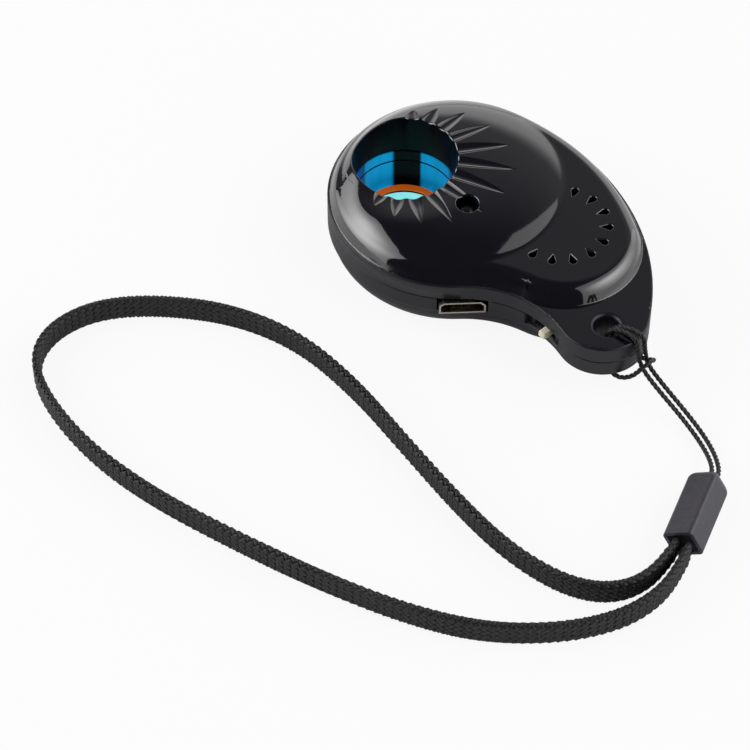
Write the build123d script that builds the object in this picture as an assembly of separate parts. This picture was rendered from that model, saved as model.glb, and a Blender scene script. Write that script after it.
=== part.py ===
"""Pocket camera finder on a wrist strap: a comma-shaped casing with a see-through viewing port.

The casing is two moulded covers around a circuit board. All sizes are millimetres, +Z is up and
the finder rests on its belly. Plan positions are given from the centre of the round head, with X
towards the lanyard eyelet; the origin is the middle of the casing's box, on the floor.
"""

import os
from dataclasses import dataclass
from math import asin, cos, degrees, hypot, pi, radians, sin, sqrt, tan

from build123d import *

# ---- casing outline -------------------------------------------------------------------------
HEAD_RADIUS = 20.5
TAIL_DISTANCE = 35.0
TAIL_RADIUS = 7.35
SIDE_RADIUS = 41.0
WAIST_RADIUS = 16.8
LOBE_TAIL_DISTANCE = 14.7
LOBE_Y = 5.3
LEDGE_WIDTH = 0.5

# ---- casing heights -------------------------------------------------------------------------
BELLY_DEPTH = 5.0
BELLY_EDGE_RADIUS = 4.4
LOWER_WALL_HEIGHT = 3.1
UPPER_WALL_HEIGHT = 3.1
PILLOW_HEIGHT = 2.8
PILLOW_EDGE_RADIUS = 2.5
DOME_HEIGHT = 5.2
DOME_TOP_INSET = 1.6
DOME_FOOT_MARGIN = 0.15
DOME_SECTIONS = 7
WALL = 1.3
EDGE_RADIUS = 0.3
SEAM_CHAMFER = 0.12

# ---- viewing port ---------------------------------------------------------------------------
PORT_RADIUS = 8.6
PORT_WALL_DISTANCE = 3.384
PORT_ANGLE = -154.25
PORT_RIM_RADIUS = 0.55
SKIRT_WALL = 1.2
SKIRT_SEAM_DISTANCE = 0.5
TUBE_STEP_WIDTH = 0.2
TUBE_WALL = 0.55
GROOVE_SKIRT_DISTANCE = 2.3
GROOVE_WIDTH = 0.3
GROOVE_DEPTH = 0.25
RING_WIDTH = 1.3
RING_THICKNESS = 0.3
FILTER_THICKNESS = 0.6
WINDOW_LEDGE_HEIGHT = 0.8
TUBE_SEAT_HEIGHT = 2.2

# ---- flutes, sound holes, emitter hole ------------------------------------------------------
FLUTE_COUNT = 12
FLUTE_PITCH_ANGLE = 18.0
FLUTE_FIRST_ANGLE = -67.4
FLUTE_RADIUS = 1.35
FLUTE_DEPTH = 0.55
FLUTE_MIDDLE_SHARE = 0.8
FLUTE_START_INSET = 1.5
FLUTE_REACH_LENGTH = 4.4
FLUTE_SHIFT_DISTANCE = 5.0
FLUTE_SHIFT_ANGLE = 30.0
SOUND_HOLE_COUNT = 9
SOUND_PITCH_ANGLE = 24.4
SOUND_FIRST_ANGLE = -77.0
SOUND_CIRCLE_RADIUS = 7.95
SOUND_LOBE_X = -1.87
SOUND_LOBE_Y = 0.98
SOUND_HOLE_RADIUS = 0.6
SOUND_TIP_LENGTH = 1.5
EMITTER_X = 6.6
EMITTER_Y = -3.0
EMITTER_HOLE_RADIUS = 1.85

# ---- eyelet ---------------------------------------------------------------------------------
EYELET_TAIL_X = 2.0
EYELET_Y = -1.04
EYELET_RADIUS = 2.05
EYELET_SINK_DEPTH = 0.65
EYELET_BOSS_WIDTH = 1.45

# ---- charging socket ------------------------------------------------------------------------
SOCKET_REACH_LENGTH = 0.41
SOCKET_SIDE_DISTANCE = 0.35
SOCKET_WIDTH = 7.5
SOCKET_HEIGHT = 2.45
SOCKET_LENGTH = 5.6
SOCKET_THICKNESS = 0.3
SOCKET_BEVEL_LENGTH = 0.75
SOCKET_FOOT_HEIGHT = 0.3
SOCKET_GAP = 0.35
TONGUE_WIDTH = 3.7
TONGUE_HEIGHT = 0.6
TONGUE_LENGTH = 3.6
TONGUE_LIFT_HEIGHT = 0.15
CONTACT_COUNT = 5
CONTACT_SPACING = 0.65
CONTACT_WIDTH = 0.35
CONTACT_HEIGHT = 0.12

# ---- slide switch ---------------------------------------------------------------------------
SWITCH_NECK_DISTANCE = 4.59
SWITCH_TRAVEL = 2.2
KNOB_WIDTH = 1.9
KNOB_HEIGHT = 1.45
KNOB_LENGTH = 1.3
KNOB_EDGE_RADIUS = 0.25
SLOT_GAP = 0.35
RECESS_LENGTH = 7.6
RECESS_DEPTH = 0.35
SWITCH_LENGTH = 7.4
SWITCH_WIDTH = 2.8
SWITCH_HEIGHT = 2.1
SWITCH_THICKNESS = 0.25
SWITCH_BASE_WIDTH = 0.8
SLIDER_MARGIN = 0.25
PIN_WIDTH = 0.4
PIN_LENGTH = 1.2
PIN_THICKNESS = 0.2

# ---- circuit board and its parts ------------------------------------------------------------
BOARD_THICKNESS = 0.8
BOARD_GAP = 0.3
LAMP_COUNT = 6
LAMP_PITCH_ANGLE = 34.0
LAMP_FIRST_ANGLE = -82.0
LAMP_RADIUS = 1.45
LAMP_TIP_RADIUS = 1.15
LAMP_FLANGE_RADIUS = 1.7
LAMP_FLANGE_HEIGHT = 1.0
LAMP_GAP = 0.15
LAMP_TUBE_GAP = 0.3
LAMP_BELLY_DEPTH = 0.45
EMITTER_LAMP_LENGTH = 5.2
SPACER_WALL = 0.85
CHIP_HEIGHT = 0.9
CONTROLLER_WIDTH = 4.0
CONTROLLER_LOBE_X = -6.8
CONTROLLER_LOBE_Y = -7.8
CHARGER_LENGTH = 3.0
CHARGER_WIDTH = 1.7
CHARGER_LOBE_X = 0.2
CHARGER_WALL_DISTANCE = 2.45
RECEIVER_WIDTH = 3.2
RECEIVER_LOBE_X = 5.7
RECEIVER_LOBE_Y = -2.3
CRYSTAL_LENGTH = 3.2
CRYSTAL_WIDTH = 1.6
CRYSTAL_HEIGHT = 0.7
CRYSTAL_LOBE_X = -6.8
CRYSTAL_LOBE_Y = -1.3
SMALL_PART_LENGTH = 1.1
SMALL_PART_WIDTH = 0.6
SMALL_PART_HEIGHT = 0.55
SMALL_PART_SPACING = 1.4
LONG_ROW_COUNT = 6
LONG_ROW_LOBE_X = -9.3
LONG_ROW_LOBE_Y = -4.1
SHORT_ROW_COUNT = 4
SHORT_ROW_SWITCH_DISTANCE = 0.7
SHORT_ROW_LOBE_Y = -7.3
BUZZER_RADIUS = 6.0
BUZZER_HEIGHT = 2.6
BUZZER_WALL = 0.6
BUZZER_MOUTH_RADIUS = 1.2
DISC_THICKNESS = 0.25
DISC_GAP = 0.1
BATTERY_LENGTH = 18.0
BATTERY_WIDTH = 11.0
BATTERY_THICKNESS = 3.6
BATTERY_EDGE_RADIUS = 1.25
BATTERY_GAP = 0.4
BATTERY_LOBE_Y = 1.2
PAD_THICKNESS = 0.5
PAD_INSET = 1.5
LEAD_RADIUS = 0.35
LEAD_BEND_RADIUS = 0.9
LEAD_LENGTH = 1.4
LEAD_SPACING = 4.0

# ---- screws ---------------------------------------------------------------------------------
PORT_SCREW_ANGLE = -65.0
PORT_SCREW_MARGIN = 2.2
HEAD_SCREW_ANGLE = 86.3
HEAD_SCREW_INSET = 4.97
TAIL_SCREW_DISTANCE = 5.7
TAIL_SCREW_INSET = 5.1
SCREW_RADIUS = 0.85
SCREW_LENGTH = 8.0
SCREW_TIP_GAP = 0.5
SCREW_HEAD_RADIUS = 1.5
SCREW_HEAD_HEIGHT = 1.0
SCREW_SEAT_DEPTH = 2.4
SCREW_BOSS_WALL = 1.55
CROSS_LENGTH = 1.8
CROSS_WIDTH = 0.35
CROSS_DEPTH = 0.5
FIT_GAP = 0.05

# ---- lanyard --------------------------------------------------------------------------------
STRING_DIAMETER = 0.8
STRAP_WIDTH = 4.8
STRAP_THICKNESS = 1.4
FLOOR_GAP = 0.05
CLASP_LENGTH = 13.5
CLASP_WIDTH = 5.2
CLASP_HEIGHT = 5.0
CLASP_ROLL_ANGLE = 30.0
CLASP_HEADING_ANGLE = -63.6
CLASP_EDGE_RADIUS = 0.8
CLASP_NOSE_RADIUS = 1.8
CLASP_MOUTH_DEPTH = 1.5
CLASP_WALL = 0.6
CLASP_NOSE_X = 54.3
CLASP_NOSE_Y = -6.2

# ---- derived levels and radii ---------------------------------------------------------------
FOOT = BELLY_DEPTH
SEAM = FOOT + LOWER_WALL_HEIGHT
CREASE = SEAM + UPPER_WALL_HEIGHT
PILLOW_TOP = CREASE + PILLOW_HEIGHT
DOME_TOP = CREASE + DOME_HEIGHT
BOARD_BOTTOM = FOOT + WALL
BOARD_TOP = BOARD_BOTTOM + BOARD_THICKNESS
SKIRT_BOTTOM = SEAM + SKIRT_SEAM_DISTANCE
SKIRT_OUTER = PORT_RADIUS + SKIRT_WALL
RING_TOP = WINDOW_LEDGE_HEIGHT + FILTER_THICKNESS + RING_THICKNESS
GROOVE_BOTTOM = SKIRT_BOTTOM - GROOVE_SKIRT_DISTANCE
TUBE_RADIUS = PORT_RADIUS - TUBE_STEP_WIDTH
TUBE_OUTER = TUBE_RADIUS + TUBE_WALL
TUBE_SEAT_RADIUS = TUBE_OUTER + FIT_GAP + WALL
WINDOW_RADIUS = TUBE_RADIUS - RING_WIDTH
DOME_FOOT_RADIUS = HEAD_RADIUS - LEDGE_WIDTH + DOME_FOOT_MARGIN
DOME_TOP_RADIUS = PORT_RADIUS - DOME_TOP_INSET
LAMP_CIRCLE_RADIUS = TUBE_SEAT_RADIUS + LAMP_FLANGE_RADIUS + LAMP_TUBE_GAP
EYELET_BOSS_RADIUS = EYELET_RADIUS + EYELET_BOSS_WIDTH
SCREW_BOSS_RADIUS = SCREW_RADIUS + SCREW_BOSS_WALL
SCREW_SEAT = FOOT - SCREW_SEAT_DEPTH
SOCKET_BOTTOM = FOOT + SOCKET_FOOT_HEIGHT
BIG = 200.0  # longer than any piece, for cutters that run right through
TOUCH = 0.001  # how near two heights are taken as one


# ---- outline geometry -----------------------------------------------------------------------
def circle_meeting(first, first_distance, second, second_distance):
    """Point at the given distances from two centres, right of the way from the first to the second."""
    way = second - first
    along = (way.length**2 + first_distance**2 - second_distance**2) / (2 * way.length)
    across = sqrt(first_distance**2 - along**2)
    unit = way.normalized()
    return first + unit * along + Vector(unit.Y, -unit.X) * across


@dataclass(frozen=True)
class Comma:
    """Closed outline of four tangent arcs: head, side, lobe and waist."""

    head_radius: float
    lobe: Vector
    lobe_radius: float
    side_radius: float
    waist_radius: float

    def inset(self, distance):
        """The same outline moved inwards all round."""
        return Comma(
            self.head_radius - distance,
            self.lobe,
            self.lobe_radius - distance,
            self.side_radius - distance,
            self.waist_radius + distance,
        )

    def side_centre(self):
        from_head = self.side_radius - self.head_radius
        return circle_meeting(Vector(0, 0), from_head, self.lobe, self.side_radius - self.lobe_radius)

    def waist_centre(self):
        from_head = self.waist_radius + self.head_radius
        return circle_meeting(Vector(0, 0), from_head, self.lobe, self.waist_radius + self.lobe_radius)

    def face(self, height):
        """The outline filled, at a height."""
        head = Vector(0, 0)
        side = self.side_centre()
        waist = self.waist_centre()
        head_side = (head - side).normalized()
        lobe_side = (self.lobe - side).normalized()
        head_waist = (waist - head).normalized()
        lobe_waist = (waist - self.lobe).normalized()
        start = side + head_side * self.side_radius
        shoulder = side + lobe_side * self.side_radius
        neck = self.lobe + lobe_waist * self.lobe_radius
        chin = head + head_waist * self.head_radius
        side_middle = side + (head_side + lobe_side).normalized() * self.side_radius
        lobe_middle = self.lobe + (lobe_side + lobe_waist).normalized() * self.lobe_radius
        waist_middle = waist - (head_waist + lobe_waist).normalized() * self.waist_radius
        head_middle = head - (head_side + head_waist).normalized() * self.head_radius
        arcs = (
            ThreePointArc(start, side_middle, shoulder),
            ThreePointArc(shoulder, lobe_middle, neck),
            ThreePointArc(neck, waist_middle, chin),
            ThreePointArc(chin, head_middle, start),
        )
        return Pos(0, 0, height) * make_face(Wire(list(arcs)))

    def prism(self, bottom, top):
        return extrude(self.face(bottom), top - bottom)


WALLS = Comma(HEAD_RADIUS, Vector(TAIL_DISTANCE, 0), TAIL_RADIUS, SIDE_RADIUS, WAIST_RADIUS)
SIDE = WALLS.side_centre()
WAIST = WALLS.waist_centre()
HEAD_AT_X = (HEAD_RADIUS - TAIL_DISTANCE - TAIL_RADIUS) / 2
HEAD_AT_Y = (HEAD_RADIUS - SIDE.Y - SIDE_RADIUS) / 2

LOBE = Vector(TAIL_DISTANCE - LOBE_TAIL_DISTANCE, LOBE_Y)
LOBE_RADIUS = (WAIST - LOBE).length - WAIST_RADIUS - LEDGE_WIDTH
PILLOW = Comma(
    HEAD_RADIUS - LEDGE_WIDTH,
    LOBE,
    LOBE_RADIUS,
    SIDE_RADIUS - 2 * LEDGE_WIDTH,
    WAIST_RADIUS + LEDGE_WIDTH,
)


def polar(x, y, radius, angle):
    """Plan position at a radius and an angle in degrees about a centre."""
    return x + radius * cos(radians(angle)), y + radius * sin(radians(angle))


def side_wall(x, inset):
    """Y of a face inside the long side's wall, at a plan X."""
    return SIDE.Y + sqrt((SIDE_RADIUS - inset) ** 2 - (x - SIDE.X) ** 2)


def waist_wall(x, inset=0.0):
    """Y of the waist wall's outer face, or of a face inside it, at a plan X."""
    return WAIST.Y + sqrt((WAIST_RADIUS + inset) ** 2 - (x - WAIST.X) ** 2)


# ---- places in plan -------------------------------------------------------------------------
PORT_X, PORT_Y = polar(0, 0, HEAD_RADIUS - PORT_RADIUS - PORT_WALL_DISTANCE, PORT_ANGLE)
SOUND_X = LOBE.X + SOUND_LOBE_X
SOUND_Y = LOBE.Y + SOUND_LOBE_Y
EYELET_X = TAIL_DISTANCE + EYELET_TAIL_X
NECK_X = TAIL_DISTANCE + (WAIST.X - TAIL_DISTANCE) * TAIL_RADIUS / (TAIL_RADIUS + WAIST_RADIUS)
SWITCH_X = NECK_X - SWITCH_NECK_DISTANCE
SWITCH_BACK = WAIST.Y + WAIST_RADIUS + WALL + FIT_GAP
TAIL_SCREW_X = TAIL_DISTANCE - TAIL_SCREW_DISTANCE
SCREW_PLACES = (
    polar(PORT_X, PORT_Y, LAMP_CIRCLE_RADIUS + PORT_SCREW_MARGIN, PORT_SCREW_ANGLE),
    polar(0, 0, HEAD_RADIUS - HEAD_SCREW_INSET, HEAD_SCREW_ANGLE),
    (TAIL_SCREW_X, side_wall(TAIL_SCREW_X, TAIL_SCREW_INSET)),
)
LAMP_PLACES = tuple(
    polar(PORT_X, PORT_Y, LAMP_CIRCLE_RADIUS, LAMP_FIRST_ANGLE + LAMP_PITCH_ANGLE * i)
    for i in range(LAMP_COUNT)
)
BATTERY_X = TAIL_SCREW_X - SCREW_BOSS_RADIUS - BATTERY_GAP - BATTERY_LENGTH / 2
BATTERY_Y = LOBE.Y + BATTERY_LOBE_Y


# ---- dome -----------------------------------------------------------------------------------
def dome_section(angle, wall=0.0):
    """Radius, height and centre of one level circle of the dome, inset by a wall."""
    swell = DOME_FOOT_RADIUS - DOME_TOP_RADIUS
    radius = DOME_TOP_RADIUS + swell * cos(angle)
    height = CREASE + DOME_HEIGHT * sin(angle)
    drift = 1 - cos(angle)
    centre = Vector(PORT_X * drift, PORT_Y * drift)
    return radius - wall * cos(angle), height - wall * sin(angle), centre


def dome(wall=0.0):
    """The head's dome: level circles that drift towards the port as they rise, with a foot below."""
    foot_radius, foot_height, _ = dome_section(0.0, wall)
    sections = []
    for step in range(DOME_SECTIONS):
        radius, height, centre = dome_section(pi / 2 * step / (DOME_SECTIONS - 1), wall)
        sections.append(Pos(centre.X, centre.Y, height) * Face(Wire.make_circle(radius)))
    return loft(sections) + cylinder(foot_radius, foot_height - WALL, foot_height)


def dome_height(x, y):
    """Height of the dome's surface over a plan position."""
    low = 0.0
    high = pi / 2
    for _ in range(30):
        middle = (low + high) / 2
        radius, _, centre = dome_section(middle)
        if hypot(x - centre.X, y - centre.Y) < radius:
            low = middle
        else:
            high = middle
    return dome_section(low)[1]


# ---- small helpers --------------------------------------------------------------------------
def cylinder(radius, bottom, top, x=0.0, y=0.0):
    """Upright cylinder between two heights."""
    return Pos(x, y, (bottom + top) / 2) * Cylinder(radius, top - bottom)


def tube(outer, inner, bottom, top, x=0.0, y=0.0):
    return cylinder(outer, bottom, top, x, y) - cylinder(inner, bottom - 1, top + 1, x, y)


def block(length, width, bottom, top, x=0.0, y=0.0, heading=0.0):
    """Upright box between two heights, turned to a heading in plan."""
    return Pos(x, y, (bottom + top) / 2) * Rot(0, 0, heading) * Box(length, width, top - bottom)


def group(pieces):
    """Separate solids kept together in one node."""
    return Compound([solid for piece in pieces for solid in piece.solids()])


def at_height(shape, height):
    """Edges of a shape that lie flat at a height."""
    return shape.edges().filter_by_position(Axis.Z, height - TOUCH, height + TOUCH)


def longest_loop(shape, height):
    """The outer loop of edges round a flat face at a height."""
    level = shape.faces().filter_by(Axis.Z).filter_by_position(Axis.Z, height - TOUCH, height + TOUCH)
    return max(level, key=lambda face: face.area).outer_wire().edges()


# ---- casing ---------------------------------------------------------------------------------
def socket_frame():
    """Frame at the middle of the socket's mouth, where head and waist meet: X runs out of the wall."""
    out = WAIST.normalized()
    mouth = out * (HEAD_RADIUS + SOCKET_REACH_LENGTH) + Vector(-out.Y, out.X) * SOCKET_SIDE_DISTANCE
    heading = degrees(asin(out.Y))
    return Pos(mouth.X, mouth.Y, SOCKET_BOTTOM + SOCKET_HEIGHT / 2) * Rot(0, 0, heading)


def socket_opening():
    """Clear hole in the wall round the charging socket."""
    height = max(2 * (SEAM - SOCKET_BOTTOM) - SOCKET_HEIGHT, SOCKET_HEIGHT + 2 * SOCKET_GAP)
    hole = Box(SOCKET_LENGTH, SOCKET_WIDTH + 2 * SOCKET_GAP, height)
    return socket_frame() * Pos(-WALL / 2, 0, 0) * hole


def switch_slot():
    """Slot for the knob and the shallow recess round it, open towards the seam."""
    length = KNOB_WIDTH + SWITCH_TRAVEL + 2 * SLOT_GAP
    wall = waist_wall(SWITCH_X)
    slot = block(length, 4 * WALL, BOARD_BOTTOM, SEAM, SWITCH_X, wall)
    face = wall + RECESS_DEPTH - WALL
    return slot + block(RECESS_LENGTH, 2 * WALL, BOARD_BOTTOM - SLOT_GAP, SEAM, SWITCH_X, face)


def flutes():
    """Round-bottomed grooves that fan out from the port's rim over the dome, each to a point."""
    circle = PORT_RADIUS + FLUTE_REACH_LENGTH
    cutters = []
    for i in range(FLUTE_COUNT):
        angle = FLUTE_FIRST_ANGLE + FLUTE_PITCH_ANGLE * i
        turn = radians(angle - FLUTE_SHIFT_ANGLE)
        aside = FLUTE_SHIFT_DISTANCE * sin(turn)
        reach = FLUTE_SHIFT_DISTANCE * cos(turn) + sqrt(circle**2 - aside**2)
        rim_place = polar(PORT_X, PORT_Y, PORT_RADIUS, angle)
        rim = Vector(*rim_place, dome_height(*rim_place) + FLUTE_RADIUS - FLUTE_DEPTH)
        tip_place = polar(PORT_X, PORT_Y, reach, angle)
        tip = Vector(*tip_place, dome_height(*tip_place))
        length = (tip - rim).length
        middle = (length / 2, FLUTE_RADIUS * FLUTE_MIDDLE_SHARE)
        start = (-FLUTE_START_INSET, 0)
        shoulder = (-FLUTE_START_INSET, FLUTE_RADIUS)
        crest = (0, FLUTE_RADIUS)
        edges = [Line(start, shoulder), Line(shoulder, crest), ThreePointArc(crest, middle, (length, 0))]
        spindle = revolve(make_face(Wire([*edges, Line((length, 0), start)])), Axis.X)
        cutters.append(Plane(origin=rim, x_dir=tip - rim, z_dir=Vector(0, 0, 1)).location * spindle)
    return cutters


def sound_hole(angle):
    """Teardrop hole, pointed inwards."""
    x, y = polar(SOUND_X, SOUND_Y, SOUND_CIRCLE_RADIUS, angle)
    lean = degrees(asin(SOUND_HOLE_RADIUS / SOUND_TIP_LENGTH))
    touch_x, touch_y = polar(0, 0, SOUND_HOLE_RADIUS, 90 - lean)
    drop = make_face(Polyline((-SOUND_TIP_LENGTH, 0), (-touch_x, touch_y), (-touch_x, -touch_y), close=True))
    drop = drop + Circle(SOUND_HOLE_RADIUS)
    return Pos(x, y, CREASE) * Rot(0, 0, angle) * extrude(drop, 2 * PILLOW_HEIGHT)


def on_port(edge):
    """Whether an edge runs round the port's bore."""
    points = [edge @ share for share in (0, 0.25, 0.5, 0.75)]
    return all(abs(hypot(p.X - PORT_X, p.Y - PORT_Y) - PORT_RADIUS) < TOUCH for p in points)


def upper_outside():
    """Outer form of the upper cover with the port bored and its rim rounded."""
    walls = WALLS.prism(SEAM, CREASE)
    walls = chamfer(longest_loop(walls, SEAM), SEAM_CHAMFER)
    walls = fillet(longest_loop(walls, CREASE), EDGE_RADIUS)
    pillow = PILLOW.prism(CREASE - WALL, PILLOW_TOP)
    pillow = fillet(longest_loop(pillow, PILLOW_TOP), PILLOW_EDGE_RADIUS)
    bore = cylinder(PORT_RADIUS, 0, BIG, PORT_X, PORT_Y)
    head = dome() - bore
    rim = [edge for edge in head.edges() if edge.bounding_box().min.Z > CREASE and on_port(edge)]
    head = fillet(rim, PORT_RIM_RADIUS)
    return (walls + pillow - bore) + head


def upper_hollow():
    """Inside of the upper cover, less the port's skirt, the eyelet boss and the screw bosses."""
    walls = WALLS.inset(WALL).prism(FOOT, CREASE - WALL)
    pillow = PILLOW.inset(WALL).prism(SEAM, PILLOW_TOP - WALL)
    pillow = fillet(longest_loop(pillow, PILLOW_TOP - WALL), PILLOW_EDGE_RADIUS - WALL / 2)
    hollow = walls + pillow + dome(WALL)
    hollow -= cylinder(EYELET_BOSS_RADIUS, 0, BIG, EYELET_X, EYELET_Y)
    return hollow - cylinder(SKIRT_OUTER, 0, BIG, PORT_X, PORT_Y)


def boss_room():
    """Space that the upper cover's bosses may fill: up into its skin, and clear of the lower wall."""
    skin = WALL / 2
    below = WALLS.inset(WALL + BOARD_GAP).prism(BOARD_TOP, SEAM)
    walls = WALLS.inset(skin).prism(SEAM, CREASE - skin)
    pillow = PILLOW.inset(skin).prism(SEAM, PILLOW_TOP - skin)
    pillow = fillet(longest_loop(pillow, PILLOW_TOP - skin), PILLOW_EDGE_RADIUS - skin / 2)
    return below + walls + pillow + dome(skin)


def upper_cover():
    cover = upper_outside() - upper_hollow()
    cover -= cylinder(SKIRT_OUTER, 0, SKIRT_BOTTOM, PORT_X, PORT_Y)
    cover += tube(SKIRT_OUTER, PORT_RADIUS, SKIRT_BOTTOM, CREASE, PORT_X, PORT_Y)
    room = boss_room()
    for x, y in SCREW_PLACES:
        cover += cylinder(SCREW_BOSS_RADIUS, BOARD_TOP, DOME_TOP, x, y) & room
        hole_top = SCREW_SEAT + SCREW_LENGTH + SCREW_TIP_GAP
        cover -= cylinder(SCREW_RADIUS + FIT_GAP, 0, hole_top, x, y)
    for cutter in flutes():
        cover -= cutter
    for i in range(SOUND_HOLE_COUNT):
        cover -= sound_hole(SOUND_FIRST_ANGLE + SOUND_PITCH_ANGLE * i)
    cover -= cylinder(EMITTER_HOLE_RADIUS, CREASE, BIG, EMITTER_X, EMITTER_Y)
    cover -= cylinder(EYELET_RADIUS, 0, BIG, EYELET_X, EYELET_Y)
    sink = Cone(EYELET_RADIUS, EYELET_RADIUS + EYELET_SINK_DEPTH, EYELET_SINK_DEPTH)
    return cover - Pos(EYELET_X, EYELET_Y, CREASE - EYELET_SINK_DEPTH / 2) * sink - socket_opening()


def lower_outside():
    walls = WALLS.prism(FOOT, SEAM)
    walls = chamfer(longest_loop(walls, SEAM), SEAM_CHAMFER)
    walls = fillet(longest_loop(walls, FOOT), EDGE_RADIUS)
    belly = PILLOW.prism(0, FOOT + WALL)
    belly = fillet(longest_loop(belly, 0), BELLY_EDGE_RADIUS)
    return walls + belly


def lower_hollow():
    walls = WALLS.inset(WALL).prism(FOOT + WALL, CREASE)
    belly = PILLOW.inset(WALL).prism(WALL, SEAM)
    belly = fillet(longest_loop(belly, WALL), BELLY_EDGE_RADIUS - WALL)
    return walls + belly - cylinder(EYELET_BOSS_RADIUS, 0, BIG, EYELET_X, EYELET_Y)


def lower_cover():
    outside = lower_outside()
    cover = outside - lower_hollow()
    seat_top = WINDOW_LEDGE_HEIGHT + TUBE_SEAT_HEIGHT
    cover += cylinder(TUBE_SEAT_RADIUS, 0, seat_top, PORT_X, PORT_Y) & outside
    cover -= cylinder(TUBE_OUTER + FIT_GAP, WINDOW_LEDGE_HEIGHT, BIG, PORT_X, PORT_Y)
    cover -= cylinder(WINDOW_RADIUS, -1, BIG, PORT_X, PORT_Y)
    for x, y in SCREW_PLACES:
        cover += cylinder(SCREW_BOSS_RADIUS, WALL / 2, BOARD_BOTTOM, x, y) & outside
        cover -= cylinder(SCREW_HEAD_RADIUS + FIT_GAP, -1, SCREW_SEAT, x, y)
        cover -= cylinder(SCREW_RADIUS + FIT_GAP, 0, BIG, x, y)
    flange_bottom = BOARD_BOTTOM - LAMP_FLANGE_HEIGHT - LAMP_GAP
    for x, y in LAMP_PLACES:
        cover -= cylinder(LAMP_RADIUS + LAMP_GAP, -1, BOARD_BOTTOM, x, y)
        cover -= cylinder(LAMP_FLANGE_RADIUS + LAMP_GAP, flange_bottom, BOARD_BOTTOM, x, y)
    cover -= cylinder(EYELET_RADIUS, 0, BIG, EYELET_X, EYELET_Y)
    return cover - socket_opening() - switch_slot()


# ---- viewing port ---------------------------------------------------------------------------
def viewing_tube():
    """Glossy liner between the filter's ring and the upper skirt, with one fine groove inside."""
    liner = tube(TUBE_OUTER, TUBE_RADIUS, RING_TOP, SKIRT_BOTTOM, PORT_X, PORT_Y)
    groove_top = GROOVE_BOTTOM + GROOVE_WIDTH
    return liner - cylinder(TUBE_RADIUS + GROOVE_DEPTH, GROOVE_BOTTOM, groove_top, PORT_X, PORT_Y)


def filter_glass():
    top = WINDOW_LEDGE_HEIGHT + FILTER_THICKNESS
    return cylinder(TUBE_OUTER, WINDOW_LEDGE_HEIGHT, top, PORT_X, PORT_Y)


def filter_ring():
    """Coloured ring that frames the filter under the liner's lower end."""
    return tube(TUBE_OUTER, WINDOW_RADIUS, RING_TOP - RING_THICKNESS, RING_TOP, PORT_X, PORT_Y)


# ---- charging socket ------------------------------------------------------------------------
def socket_section(width, height, bevel):
    """Socket outline: a rectangle with its two upper corners bevelled."""
    outline = Polyline(
        (-width / 2, -height / 2),
        (width / 2, -height / 2),
        (width / 2, height / 2 - bevel),
        (width / 2 - bevel, height / 2),
        (-width / 2 + bevel, height / 2),
        (-width / 2, height / 2 - bevel),
        close=True,
    )
    return Plane(origin=(0, 0, 0), x_dir=(0, 1, 0), z_dir=(1, 0, 0)) * make_face(outline)


def socket_shell():
    """Folded metal shell, closed at its inner end."""
    outer = socket_section(SOCKET_WIDTH, SOCKET_HEIGHT, SOCKET_BEVEL_LENGTH)
    inner = socket_section(
        SOCKET_WIDTH - 2 * SOCKET_THICKNESS,
        SOCKET_HEIGHT - 2 * SOCKET_THICKNESS,
        SOCKET_BEVEL_LENGTH - SOCKET_THICKNESS * (2 - sqrt(2)),
    )
    room = extrude(inner, SOCKET_THICKNESS - SOCKET_LENGTH, dir=(1, 0, 0))
    return socket_frame() * (extrude(outer, -SOCKET_LENGTH, dir=(1, 0, 0)) - room)


TONGUE_CENTRE = SOCKET_THICKNESS - SOCKET_LENGTH + TONGUE_LENGTH / 2
TONGUE_BOTTOM = TONGUE_LIFT_HEIGHT - TONGUE_HEIGHT / 2


def socket_tongue():
    tongue = Box(TONGUE_LENGTH, TONGUE_WIDTH, TONGUE_HEIGHT)
    return socket_frame() * Pos(TONGUE_CENTRE, 0, TONGUE_LIFT_HEIGHT) * tongue


def socket_contacts():
    """Gilt spring contacts along the underside of the tongue."""
    strip = Box(TONGUE_LENGTH, CONTACT_WIDTH, CONTACT_HEIGHT)
    contacts = []
    for i in range(CONTACT_COUNT):
        across = CONTACT_SPACING * (i - (CONTACT_COUNT - 1) / 2)
        place = Pos(TONGUE_CENTRE, across, TONGUE_BOTTOM - CONTACT_HEIGHT / 2)
        contacts.append(socket_frame() * place * strip)
    return group(contacts)


# ---- slide switch ---------------------------------------------------------------------------
SWITCH_TOP = BOARD_BOTTOM + SWITCH_HEIGHT
SWITCH_ROOM_LENGTH = SWITCH_LENGTH - 2 * SWITCH_THICKNESS
SWITCH_ROOM_BOTTOM = BOARD_BOTTOM + 2 * SWITCH_THICKNESS
SWITCH_ROOM_TOP = SWITCH_TOP - SWITCH_THICKNESS
KNOB_BOTTOM = (BOARD_BOTTOM + SEAM - KNOB_HEIGHT) / 2
KNOB_REST_X = SWITCH_X + SWITCH_TRAVEL / 2


def switch_can():
    """Folded metal can with a slot for the knob in its front."""
    middle = SWITCH_BACK + SWITCH_WIDTH / 2
    can = block(SWITCH_LENGTH, SWITCH_WIDTH, BOARD_BOTTOM, SWITCH_TOP, SWITCH_X, middle)
    width = SWITCH_WIDTH - 2 * SWITCH_THICKNESS
    can -= block(SWITCH_ROOM_LENGTH, width, SWITCH_ROOM_BOTTOM, SWITCH_ROOM_TOP, SWITCH_X, middle)
    length = KNOB_WIDTH + SWITCH_TRAVEL + 4 * FIT_GAP
    depth = SWITCH_THICKNESS + 2 * FIT_GAP
    bottom = KNOB_BOTTOM - FIT_GAP
    top = KNOB_BOTTOM + KNOB_HEIGHT + FIT_GAP
    return can - block(length, 2 * depth, bottom, top, SWITCH_X, SWITCH_BACK)


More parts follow.
